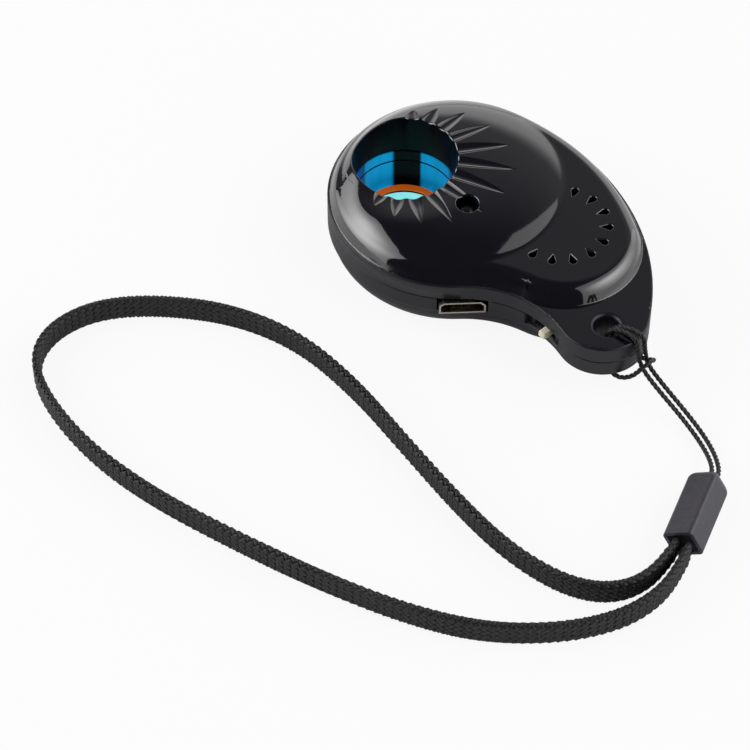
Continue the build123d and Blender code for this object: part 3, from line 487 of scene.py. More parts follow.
@dataclass(frozen=True)
class Bore(Finish):
    """Glossy black tube wall with painted cyan reflections and a painted glow along four soft
    bands.
    """

    # Colours of the painted cyan reflection: the glow colour in the broad bands, the deep colour in
    # the edge bands.
    glow: Colour
    deep: Colour
    centre: Point
    radius: float
    heading: float
    groove: float
    groove_width: float
    flanks: tuple[Band, ...] = (
        Band((-0.18, -0.27), (-0.82, -0.74)),
        Band((0.30, 0.36), (0.92, 0.85)),
    )
    edges: tuple[Band, ...] = (
        Band((-0.80, -0.84), (-0.97, -0.9)),
        Band((0.89, 0.93), (1.0, 0.975)),
    )
    # Emission strength of the painted glow in the bands.
    strength: float = 0.3
    specular: float = 0.06
    groove_blur: float = 0.00004
    streak_scale: float = 900.0
    streak_length: float = 0.06
    streak_depth: float = 0.000004
    wander: float = 0.05
    least_light: float = 0.75
    streak_light: float = 0.4
    lit_dullness: float = 0.2
    lit_metal: float = 0.7

    def material(self) -> bpy.types.Material:
        """The tube wall as a material, its four bands painted with cyan reflections that glow.

        Returns:
            The material, ready to assign.
        """
        shine = {"Emission_Strength": self.strength, "Specular_IOR_Level": self.specular}
        material, graph, shader = self.start(**shine)
        turn = (0.0, 0.0, math.radians(self.heading))
        chart = graph.chart("Object", "TEXTURE", Location=self.centre, Rotation=turn)
        aside, _, height = chart.parts()
        streaks = self.noise(graph, self.streak_scale, 3.0, (1.0, 1.0, self.streak_length))
        share = aside * (1.0 / self.radius) + (streaks - 0.5) * self.wander
        left, right = (band.cover(graph, share) for band in self.flanks)
        left_edge, right_edge = (band.cover(graph, share) for band in self.edges)
        edge = left_edge + right_edge
        # Painted reflection and glow: cyan colour, emission and metal sheen laid in bands round the
        # bore, with no light behind them.
        painted_blue = graph.ramp(graph.clamped(edge, 0.0, 1.0), self.glow, self.deep)
        near = graph.math("ABSOLUTE", height - self.groove)
        wall = self.groove_width * 0.5
        plain = graph.smooth(near, wall, wall + self.groove_blur)
        light = streaks * self.streak_light + self.least_light
        lit = graph.clamped(left + right + edge, 0.0, 1.0) * plain * light
        inputs = {0: lit, 6: self.colour, 7: painted_blue}
        painted_reflection = graph.add("ShaderNodeMix", inputs, data_type="RGBA").outputs[2]
        self.shade(graph, shader, painted_reflection, self.roughness + lit * self.lit_dullness)
        graph.feed(shader.inputs["Emission Color"], painted_reflection)
        graph.feed(shader.inputs["Metallic"], graph.clamped(lit, 0.0, self.lit_metal))
        self.bump(graph, shader, streaks, self.streak_depth)
        return material


GLOSS_BLACK = Moulded(
    "gloss_black", (0.0032, 0.0028, 0.0062, 1.0), 0.05, skin_depth=0.00001, coat=1.0, specular=1.0
)
WALL_BLACK = Moulded(
    "wall_black", (0.0055, 0.005, 0.0095, 1.0), 0.34, skin_depth=0.00001, haze=0.05, specular=0.45
)
THROAT_BLACK = Moulded(
    "throat_black", (0.002, 0.002, 0.0024, 1.0), 0.3, skin_depth=0.00001, haze=0.05, specular=0.08
)
# The ring's orange is its own colour. Its emission is a painted glow that lights it in the shade
# deep in the port.
ORANGE_WITH_PAINTED_GLOW = Moulded(
    "orange_ring_painted_glow", (0.95, 0.16, 0.012, 1.0), 0.3, 500.0, 0.000005, 0.05, specular=0.3, glow=0.32
)
SATIN_GREY = Moulded("satin_grey", (0.05, 0.047, 0.056, 1.0), 0.27, 1500.0, 0.00001, 0.15)
CREAM = Moulded("cream_plastic", (0.95, 0.84, 0.62, 1.0), 0.4, 700.0, 0.00001, 0.1)
BLACK_PLASTIC = Moulded("black_plastic", (0.012, 0.012, 0.013, 1.0), 0.4)
CHIP_EPOXY = Moulded("chip_epoxy", (0.018, 0.018, 0.02, 1.0), 0.5, 4000.0, 0.00001, 0.1)
CERAMIC = Moulded("ceramic", (0.45, 0.33, 0.2, 1.0), 0.45, 3000.0, 0.00001, 0.1)
PAD_FOAM = Moulded("pad_foam", (0.75, 0.75, 0.72, 1.0), 0.8, 3000.0, 0.00008, 0.1)
CELL_FILM = Moulded("cell_film", (0.42, 0.44, 0.47, 1.0), 0.3, 200.0, 0.00008, 0.1)
RED_PVC = Moulded("red_pvc", (0.5, 0.02, 0.02, 1.0), 0.35)
BLACK_PVC = Moulded("black_pvc", (0.012, 0.012, 0.012, 1.0), 0.35)
NICKEL = Metal("warm_nickel", (0.52, 0.475, 0.41, 1.0), 0.2)
STEEL = Metal("screw_steel", (0.55, 0.54, 0.52, 1.0), 0.25, 2000.0)
BRASS = Metal("gilt_brass", (0.80, 0.58, 0.25, 1.0), 0.22, 2000.0)
FILTER = Glass("cyan_filter", (0.30, 0.93, 0.97, 1.0), 0.0, index=1.1)
RED_LENS = Glass("red_lens", (0.85, 0.05, 0.04, 1.0), 0.05, clarity=0.9)
DARK_LENS = Glass("dark_lens", (0.01, 0.01, 0.014, 1.0), 0.08, clarity=0.2)
BOARD = Laminate("green_board", (0.008, 0.09, 0.03, 1.0), 0.35, copper=(0.02, 0.16, 0.06, 1.0))
BRAID_YARN = Yarn(
    "braid_yarn", (0.0035, 0.0034, 0.004, 1.0), 0.55, (0.017, 0.0165, 0.019, 1.0), 9.0, sheen=0.06
)
CORD_YARN = Yarn(
    "cord_yarn", (0.003, 0.003, 0.003, 1.0), 0.5, (0.018, 0.016, 0.016, 1.0), 4.0, sheen=0.06
)
NODE_FINISHES: Mapping[Finish, tuple[str, ...]] = {
    FILTER: ("filter_glass",),
    NICKEL: ("socket_shell", "switch_can", "crystal"),
    BLACK_PLASTIC: ("socket_tongue", "switch_base", "lamp_spacer", "buzzer_case"),
    BRASS: ("socket_contacts", "switch_pins", "buzzer_disc"),
    BOARD: ("circuit_board",),
    RED_LENS: ("flash_lamps",),
    DARK_LENS: ("emitter_lamp",),
    CHIP_EPOXY: ("controller_chip", "charger_chip", "receiver_chip"),
    CERAMIC: ("small_parts",),
    PAD_FOAM: ("battery_pad",),
    CELL_FILM: ("battery_cell",),
    RED_PVC: ("battery_lead_red",),
    BLACK_PVC: ("battery_lead_black",),
    STEEL: ("case_screws",),
}


@dataclass
class Wardrobe:
    """Hands out materials, each made once."""

    made: dict[str, bpy.types.Material] = field(default_factory=dict)

    def get(self, finish: Finish) -> bpy.types.Material:
        """The material of a finish.

        Args:
            finish: The finish that is asked for.

        Returns:
            Its material, which is made only once.
        """
        if finish.name not in self.made:
            self.made[finish.name] = finish.material()
        return self.made[finish.name]

    def dress(self, piece: bpy.types.Object, *finishes: Finish) -> None:
        """Give a new piece its finishes, one for each material slot."""
        for finish in finishes:
            piece.data.materials.append(self.get(finish))

    def dress_node(self, node: str, finish: Finish) -> None:
        """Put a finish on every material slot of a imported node."""
        for material_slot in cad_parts[node].material_slots:
            material_slot.material = self.get(finish)


WARDROBE = Wardrobe()


def new_object(name: str, data: bpy.types.ID) -> bpy.types.Object:
    """An object at the origin that shows a mesh, a curve, a lamp or a camera.

    Args:
        name: The object's name.
        data: What the object shows.

    Returns:
        The object, linked to the scene.
    """
    made = bpy.data.objects.new(name, data)
    bpy.context.scene.collection.objects.link(made)
    return made


def mesh_from(name: str, work: bmesh.types.BMesh) -> bpy.types.Mesh:
    """A finished mesh of a working mesh, which is freed.

    Args:
        name: The mesh's name.
        work: The working mesh, not used again.

    Returns:
        The finished mesh.
    """
    mesh = bpy.data.meshes.new(name)
    work.to_mesh(mesh)
    work.free()
    return mesh


def seat(piece: bpy.types.Object, body: str, node: str) -> None:
    """Let a piece ride on a body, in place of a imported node.

    Args:
        piece: The piece to seat.
        body: The body that carries it.
        node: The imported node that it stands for.
    """
    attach(piece, body)
    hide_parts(node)


# ---- geometry trees -------------------------------------------------------------------------
def evaluated(piece: bpy.types.Object) -> bpy.types.Mesh:
    """A plain mesh of what an object shows once its modifiers or its curve have run.

    Args:
        piece: The object to evaluate.

    Returns:
        The new mesh.
    """
    bpy.context.view_layer.update()
    depsgraph = bpy.context.evaluated_depsgraph_get()
    return bpy.data.meshes.new_from_object(piece.evaluated_get(depsgraph))


@dataclass
class Loom:
    """A geometry node tree with named inputs that ends in one baked mesh."""

    name: str
    sizes: Mapping[str, Any]

    def __post_init__(self) -> None:
        """Make the tree with its inputs and its output."""
        self.tree = bpy.data.node_groups.new(self.name, "GeometryNodeTree")
        self.graph = Graph(self.tree)
        kinds = {
            int: "NodeSocketInt",
            float: "NodeSocketFloat",
            bpy.types.Object: "NodeSocketObject",
            bpy.types.Material: "NodeSocketMaterial",
        }
        interface = self.tree.interface
        for label, value in self.sizes.items():
            kind = next(k for t, k in kinds.items() if isinstance(value, t))
            interface.new_socket(label, in_out="INPUT", socket_type=kind)
        interface.new_socket("Geometry", in_out="OUTPUT", socket_type="NodeSocketGeometry")
        self.inputs = self.tree.nodes.new("NodeGroupInput")

    def size(self, label: str) -> Value:
        """One of the tree's named inputs."""
        return Value(self.graph, self.inputs.outputs[label])

    def shape(self, label: str) -> bpy.types.NodeSocket:
        """The geometry of an object that is one of the tree's inputs."""
        info = self.graph.add("GeometryNodeObjectInfo", {"Object": self.size(label)})
        return info.outputs["Geometry"]

    def grid(self, columns: Operand, rows: Operand) -> bpy.types.NodeSocket:
        """A flat grid of points, one unit wide and high, round the origin."""
        inputs = {"Vertices X": columns, "Vertices Y": rows, "Size X": 1.0, "Size Y": 1.0}
        return self.graph.add("GeometryNodeMeshGrid", inputs).outputs["Mesh"]

    def moved(self, geometry: bpy.types.NodeSocket, place: Arrow) -> bpy.types.NodeSocket:
        """The geometry with every point at its new place."""
        node = self.graph.add("GeometryNodeSetPosition", {"Geometry": geometry, "Position": place})
        return node.outputs[0]

    def finish(self, geometry: bpy.types.NodeSocket, weld: float = 1e-7) -> None:
        """End the tree: weld the seams, realize what is left of instances, and set the material.

        Args:
            geometry: What the tree has made.
            weld: How close points have to lie to be welded, in metres.
        """
        graph = self.graph
        welded = graph.add("GeometryNodeMergeByDistance", {"Geometry": geometry, "Distance": weld})
        real = graph.add("GeometryNodeRealizeInstances", {"Geometry": welded.outputs[0]})
        smooth = graph.add("GeometryNodeSetShadeSmooth", {"Geometry": real.outputs[0]})
        inputs = {"Geometry": smooth.outputs[0], "Material": self.size("Material")}
        dressed = graph.add("GeometryNodeSetMaterial", inputs)
        end = self.tree.nodes.new("NodeGroupOutput")
        self.tree.links.new(dressed.outputs[0], end.inputs[0])

    def bake(self, name: str) -> bpy.types.Object:
        """Run the tree on an empty mesh and keep the result as a plain piece.

        Args:
            name: The piece's name.

        Returns:
            A mesh object with no modifier.
        """
        host = new_object(name + "_host", bpy.data.meshes.new(name + "_host"))
        modifier = host.modifiers.new("loom", "NODES")
        modifier.node_group = self.tree
        for item in self.tree.interface.items_tree:
            if item.in_out == "INPUT":
                modifier[item.identifier] = self.sizes[item.name]
        host.update_tag()
        mesh = evaluated(host)
        bpy.data.objects.remove(host)
        mesh.name = name
        return new_object(name, mesh)


# ---- lanyard --------------------------------------------------------------------------------
class Weave(Enum):
    """How many crossing yarns each yarn of a braid passes over at a time."""

    PLAIN = 1
    TWILL = 2


STRING_POINTS: tuple[Point, ...] = (
    (54.9, -7.4, 3.2), (53.5, -4.9, 2.7), (51.3, -3.1, 2.0), (48.4, -1.6, 1.3),
    (45.0, -0.5, 1.1), (41.2, 0.0, 1.8), (37.6, -0.1, 3.2), (34.6, -0.3, 4.8),
    (32.8, -0.5, 6.4), (32.2, -0.7, 9.0), (31.9, -0.8, 11.6), (30.7, -1.1, 12.5),
    (28.9, -1.6, 12.3), (27.4, -2.0, 11.7), (26.6, -2.2, 10.2), (26.3, -2.3, 7.4),
    (26.6, -2.5, 5.2), (27.7, -3.0, 4.3), (29.8, -3.7, 4.3), (31.6, -3.4, 4.5),
    (33.0, -2.4, 5.4), (33.7, -1.2, 6.9), (33.9, 0.2, 7.5), (33.6, 1.6, 6.8), (32.8, 2.5, 5.3),
    (31.4, 2.5, 4.4), (29.4, 1.4, 4.2), (27.8, 0.0, 4.3), (26.8, -0.8, 5.2), (26.5, -1.1, 7.4),
    (26.8, -1.0, 10.2), (27.6, -0.8, 11.6), (29.2, -0.4, 12.2), (31.0, 0.1, 12.5),
    (32.2, 0.5, 11.5), (32.4, 0.6, 9.0), (33.1, 0.7, 6.3), (34.9, 0.9, 4.8), (37.9, 1.1, 3.2),
    (41.5, 1.1, 1.9), (45.3, 0.6, 1.2), (48.9, -0.6, 1.4), (52.0, -2.3, 2.0), (54.4, -4.3, 2.7),
    (55.8, -7.0, 3.2),
)
STRAP_POINTS: tuple[tuple[float, float], ...] = (
    (59.6, -19.0), (60.6, -22.3), (61.2, -26.6), (60.2, -31.0), (56.9, -34.8), (51.3, -37.4),
    (42.5, -38.8), (31.0, -38.3), (18.0, -36.8), (4.5, -35.1), (-9.0, -35.4), (-20.5, -39.7),
    (-30.0, -47.5), (-35.8, -55.5), (-37.0, -63.5), (-34.0, -69.8), (-26.5, -73.2),
    (-14.0, -74.5), (-0.5, -72.7), (14.0, -68.6), (29.0, -63.5), (42.0, -57.9), (52.0, -51.6),
    (59.5, -43.2), (63.6, -35.2), (64.6, -28.5), (63.5, -22.8), (61.4, -18.2),
)


@dataclass
class CordTree:
    """A cord's route, and the tree that bends a flat grid into each of its yarns along it."""

    name: str
    points: Sequence[Point]
    finish: Finish
    sizes: Mapping[str, Any]
    sides: int
    resolution: int = 24
    order: int = 3
    end_sharpness: float = 900.0

    def __post_init__(self) -> None:
        """Lay the route, and start the tree with its flat grids."""
        self.curve = self.route()
        mesh = evaluated(self.curve)
        self.line = [tuple(vertex.co) for vertex in mesh.vertices]
        bpy.data.meshes.remove(mesh)
        ends = zip(self.line, self.line[1:])
        self.length = sum((Vector(last) - Vector(first)).length for first, last in ends)
        sizes = {"Route": self.curve, "Length": self.length, "Material": WARDROBE.get(self.finish)}
        self.loom = Loom(self.name + "_tree", {**sizes, **self.sizes})
        self.graph = self.loom.graph
        self.grids, self.number, self.along, self.round = self.strips()
        self.position, self.tangent, self.side, self.rise = self.directions()

    def route(self) -> bpy.types.Object:
        """One smooth spline along the control points, which are in millimetres.

        Returns:
            The curve object, with no thickness of its own.
        """
        data = bpy.data.curves.new(self.name + "_route", "CURVE")
        data.dimensions = "3D"
        data.twist_mode = "Z_UP"
        data.resolution_u = self.resolution
        spline = data.splines.new("NURBS")
        spline.points.add(len(self.points) - 1)
        for point, place in zip(spline.points, self.points):
            point.co = (*(c * MM for c in place), 1.0)
        spline.order_u = self.order
        spline.use_endpoint_u = True
        return new_object(self.name + "_route", data)

    def captured(
        self, geometry: Operand, kind: str, label: str, value: Operand
    ) -> tuple[bpy.types.NodeSocket, bpy.types.NodeSocket]:
        """A geometry that remembers a value of its points, and the value.

        Args:
            geometry: The geometry.
            kind: The value's data type.
            label: A name for the value.
            value: The value to remember.

        Returns:
            The geometry and the remembered value.
        """
        node = self.graph.add("GeometryNodeCaptureAttribute", {"Geometry": geometry})
        node.capture_items.new(kind, label)
        self.graph.feed(node.inputs[label], value)
        return node.outputs["Geometry"], node.outputs[label]

    def strips(self) -> tuple[bpy.types.NodeSocket, Value, Value, Value]:
        """Flat grids, one for each yarn, to be bent into tubes.

        Returns:
            The realized grids, and the yarn's number, the share along and the share around.
        """
        graph = self.graph
        grid = self.loom.grid(self.loom.size("Samples"), self.sides + 1)
        place = graph.add("GeometryNodeInputPosition").outputs[0]
        strip, spot = self.captured(grid, "VECTOR", "Place", place)
        inputs = {"Count": self.loom.size("Yarns"), "Offset": (0.0, 0.0, 0.0)}
        dots = graph.add("GeometryNodeMeshLine", inputs).outputs["Mesh"]
        index = graph.add("GeometryNodeInputIndex").outputs[0]
        points, number = self.captured(dots, "INT", "Number", index)
        copies = graph.add("GeometryNodeInstanceOnPoints", {"Points": points, "Instance": strip})
        real = graph.add("GeometryNodeRealizeInstances", {"Geometry": copies.outputs[0]})
        along, round_, _ = Arrow(graph, spot).parts()
        return real.outputs[0], Value(graph, number), along + 0.5, round_ + 0.5

    def directions(self) -> tuple[Arrow, Arrow, Arrow, Arrow]:
        """The place, tangent, side and rise of the route at each point's share along it.

        Returns:
            The four arrows, in that order.
        """
        inputs = {"Curves": self.loom.shape("Route"), "Factor": self.along}
        outputs = self.graph.add("GeometryNodeSampleCurve", inputs, mode="FACTOR").outputs
        labels = ("Position", "Tangent", "Normal")
        position, tangent, side = (Arrow(self.graph, outputs[label]) for label in labels)
        return position, tangent, side, tangent.cross(side).unit()

    def end(self) -> Value:
        """1 along the yarn, and 0 at its two ends, which closes them."""
        inside = 0.5 - self.graph.math("ABSOLUTE", self.along - 0.5)
        return self.graph.clamped(inside * self.end_sharpness, 0.0, 1.0)

    def piece(self, name: str, place: Arrow) -> bpy.types.Object:
        """Bend the grids to their places, map them, with U in millimetres, and bake the piece.

        Args:
            name: The piece's name.
            place: Each point's place.

        Returns:
            The new piece.
        """
        moved = self.loom.moved(self.grids, place)
        along = self.along * self.loom.size("Length") * (1.0 / MM)
        chart = self.graph.joined(along, self.round, 0.0)
        inputs = {"Geometry": moved, "Name": "UVMap", "Value": chart}
        kind = {"data_type": "FLOAT2", "domain": "CORNER"}
        mapped = self.graph.add("GeometryNodeStoreNamedAttribute", inputs, **kind)
        self.loom.finish(mapped.outputs[0])
        piece = self.loom.bake(name)
        bpy.data.objects.remove(self.curve)
        LOG.info("%s: %.1f mm", name, self.length / MM)
        return piece


@dataclass
class Lanyard:
    """The hitched cord, its clasp and the flat braided wrist strap."""

    string_diameter: float = 0.8 * MM
    string_lay: float = 2.6 * MM
    string_strands: int = 3
    string_samples: int = 640
    string_sides: int = 8
    strand_offset: float = 0.24
    strand_radius: float = 0.27
    strap_width: float = 4.8 * MM
    strap_thickness: float = 1.4 * MM
    strap_samples: int = 780
    floor_gap: float = 0.05 * MM
    carriers: int = 16
    lay: float = 10.6 * MM
    yarn_width: float = 0.98 * MM
    yarn_thickness: float = 0.34 * MM
    yarn_sides: int = 6
    wave_steepness: float = 1.5
    weave: Weave = Weave.PLAIN

    def string(self, clasp: bpy.types.Object) -> bpy.types.Object:
        """The thin cord: strands twisted round its line, looped through the eyelet.

        Args:
            clasp: The clasp that both of its ends go into. It is not used.

        Returns:
            The new piece.
        """
        sizes = {
            "Diameter": self.string_diameter,
            "Lay": self.string_lay,
            "Yarns": self.string_strands,
            "Samples": self.string_samples,
        }
        cord = CordTree("string", STRING_POINTS, CORD_YARN, sizes, self.string_sides)
        graph, size = cord.graph, cord.loom.size
        turn = (cord.along * size("Length") / size("Lay") + cord.number / size("Yarns")) * math.tau
        circle = cord.round * math.tau
        offset = size("Diameter") * self.strand_offset
        radius = size("Diameter") * self.strand_radius * cord.end()
        across = graph.cosine(turn) * offset + graph.cosine(circle) * radius
        up = graph.sine(turn) * offset + graph.sine(circle) * radius
        piece = cord.piece("lanyard_cord", cord.position + cord.side * across + cord.rise * up)
        seat(piece, "casing", "lanyard_string")
        return piece

    def strap(self) -> bpy.types.Object:
        """The flat braid: yarns that wind both ways round a flattened tube, over and under.


        Returns:
            The new piece.
        """
        middle = (self.floor_gap + self.strap_width / 2) / MM
        sizes = {
            "Flat": self.strap_width - self.strap_thickness,
            "Fold radius": (self.strap_thickness - 2 * self.yarn_thickness) / 2,
            "Lay": self.lay,
            "Yarn width": self.yarn_width,
            "Yarn thickness": self.yarn_thickness,
            "Yarns": self.carriers,
            "Floats": self.weave.value,
            "Samples": self.strap_samples,
        }
        points = [(x, y, middle) for x, y in STRAP_POINTS]
        cord = CordTree("braid", points, BRAID_YARN, sizes, self.yarn_sides)
        graph, size = cord.graph, cord.loom.size
        half = size("Yarns") * 0.5
        hand = 1.0 - graph.math("FLOOR", cord.number / half + 0.001) * 2.0
        turns = cord.along * size("Length") / size("Lay")
        ring = graph.math("WRAP", cord.number / half + turns * hand, 1.0, 0.0)
        bend = size("Fold radius")
        half_ring = size("Flat") + bend * math.pi
        on_half = graph.math("WRAP", ring * 2.0, 1.0, 0.0) * half_ring
        face = 1.0 - graph.math("FLOOR", ring * 2.0) * 2.0
        fold = graph.clamped((on_half - size("Flat")) / bend, 0.0, math.pi)
        flat_part = graph.math("MINIMUM", on_half, size("Flat")) - size("Flat") * 0.5
        out_up, out_side = graph.sine(fold), graph.cosine(fold)
        up = (flat_part + bend * out_up) * face
        across = bend * out_side * face
        outward = cord.rise * (out_up * face) + cord.side * (out_side * face)
        tangent_round = cord.rise * (out_side * face) + cord.side * (out_up * face * -1.0)
        crossings = half / size("Floats")
        phase = (size("Floats") - 1.0) * (math.pi / 4)
        wave = graph.cosine(turns * crossings * math.tau + phase) * self.wave_steepness
        lift = graph.clamped(wave, -1.0, 1.0) * hand * size("Yarn thickness") * 0.5
        pitch_round = half_ring * 2.0 / size("Lay")
        forward = (cord.tangent + tangent_round * (pitch_round * hand)).unit()
        broad = forward.cross(outward).unit()
        circle = cord.round * math.tau
        end = cord.end()
        wide = graph.cosine(circle) * size("Yarn width") * 0.5 * end
        thick = graph.sine(circle) * size("Yarn thickness") * 0.5 * end
        place = cord.position + cord.side * across + cord.rise * up
        piece = cord.piece("wrist_strap_braid", place + outward * (lift + thick) + broad * wide)
        seat(piece, "casing", "wrist_strap")
        return piece

    def build(self) -> None:
        """Lay the cord and the strap, and finish the clasp."""
        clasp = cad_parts["lanyard_clasp"]
        self.string(clasp)
        WARDROBE.dress_node("lanyard_clasp", SATIN_GREY)
        self.strap()


# ---- casing ---------------------------------------------------------------------------------
Field = np.ndarray
FAR = 1e3


def arc_meeting(reach: float, other: Vector, other_reach: float) -> Vector:
    """Point at given distances from the origin and another point, right of the way there.

    Args:
        reach: Distance from the origin.
        other: The other point.
        other_reach: Distance from the other point.

    Returns:
        The point where the two arcs meet.
    """
    along = (other.length_squared + reach**2 - other_reach**2) / (2 * other.length)
    across = math.sqrt(reach**2 - along**2)
    unit = other.normalized()
    return unit * along + Vector((unit.y, -unit.x)) * across


def sweep(first: Vector, last: Vector) -> tuple[float, float]:
    """Where the anticlockwise way from one direction to another starts, and how far it turns."""
    start = math.atan2(first.y, first.x)
    return start, (math.atan2(last.y, last.x) - start) % math.tau


def on_circle(centre: Vector, radius: float, turns: Field) -> Field:
    """Places on a circle at given angles, as rows of X and Y."""
    return np.stack([centre.x + radius * np.cos(turns), centre.y + radius * np.sin(turns)], 1)


def beyond(x: Field, y: Field, centre: Vector, radius: float) -> Field:
    """How far places lie outside a circle, negative inside."""
    return np.hypot(x - centre.x, y - centre.y) - radius


def heading(degrees: float) -> Vector:
    """The level direction at an angle from X."""
    angle = math.radians(degrees)
    return Vector((math.cos(angle), math.sin(angle)))


def along_way(x: Field, y: Field, start: Vector, way: Vector) -> tuple[Field, Field]:
    """How far places lie along a direction from a point, and how far to its left."""
    east, north = x - start.x, y - start.y
    return east * way.x + north * way.y, north * way.x - east * way.y


def read(items: Any, key: str, width: int = 1, kind: type = float) -> Field:
    """One property of every item of a mesh, with a row for each item where it has a width.

    Args:
        items: The vertices, edges, loops or faces.
        key: The property's name.
        width: How many numbers each item has.
        kind: The type of the numbers.

    Returns:
        The values.
    """
    values = np.empty(len(items) * width, dtype=kind)
    items.foreach_get(key, values)
    return values.reshape(-1, width) if width > 1 else values


@dataclass(frozen=True)
class Comma:
    """Closed outline of four tangent arcs: head, side, lobe and waist, in millimetres."""

    head_radius: float
    lobe: Vector
    lobe_radius: float
    side_radius: float
    waist_radius: float

    def side(self) -> Vector:
        """Centre of the long side's arc."""
        radius = self.side_radius
        return arc_meeting(radius - self.head_radius, self.lobe, radius - self.lobe_radius)

    def waist(self) -> Vector:
        """Centre of the waist's arc."""
        radius = self.waist_radius
        return arc_meeting(radius + self.head_radius, self.lobe, radius + self.lobe_radius)

    def arcs(self) -> tuple[tuple[Vector, Vector, Vector, float, float], ...]:
        """Each arc's centre, first and last direction, radius, and 1, or -1 where it is hollow.

        Returns:
            One row for each arc.
        """
        side, waist = self.side(), self.waist()
        return (
            (Vector((0, 0)), -side, waist, self.head_radius, 1.0),
            (self.lobe, waist - self.lobe, self.lobe - side, self.lobe_radius, 1.0),
            (side, self.lobe - side, -side, self.side_radius, 1.0),
            (waist, self.lobe - waist, -waist, self.waist_radius, -1.0),
        )

    def depth(self, x: Field, y: Field) -> Field:
        """How far places lie inside the outline, negative outside.

        Args:
            x: Places' X from the head's centre.
            y: Places' Y from the head's centre.

        Returns:
            Distance to the outline.
        """
        nearest = np.full(np.shape(x), FAR)
        for centre, first, last, radius, sign in self.arcs():
            across, up = x - centre.x, y - centre.y
            inside = sign * (radius - np.hypot(across, up))
            start, span = sweep(first, last)
            facing = (np.arctan2(up, across) - start) % math.tau <= span
            nearest = np.where(facing & (np.abs(inside) < np.abs(nearest)), inside, nearest)
        return nearest

    def ring(self, depth: float, spacing: float) -> Field:
        """Places all along the outline, moved inwards.

        Args:
            depth: How far inwards.
            spacing: About how far apart.

        Returns:
            An array of X and Y.
        """
        places = []
        for centre, first, last, full_radius, sign in self.arcs():
            radius = full_radius - sign * depth
            start, span = sweep(first, last)
            count = max(3, math.ceil(span * radius / spacing))
            places.append(on_circle(centre, radius, start + span * np.arange(count) / count))
        return np.concatenate(places)


def rounded(depth: Field, radius: float) -> Field:
    """How far a rounded edge lies under its flat, at depths inside the edge."""
    short = np.clip(radius - depth, 0.0, radius)
    return radius - np.sqrt(radius**2 - short**2)


def blended(first: Field, second: Field, width: float) -> Field:
    """The higher of two heights, with a soft valley between them."""
    share = np.clip(0.5 + (first - second) / (2 * width), 0.0, 1.0)
    return second + (first - second) * share + width * share * (1 - share)


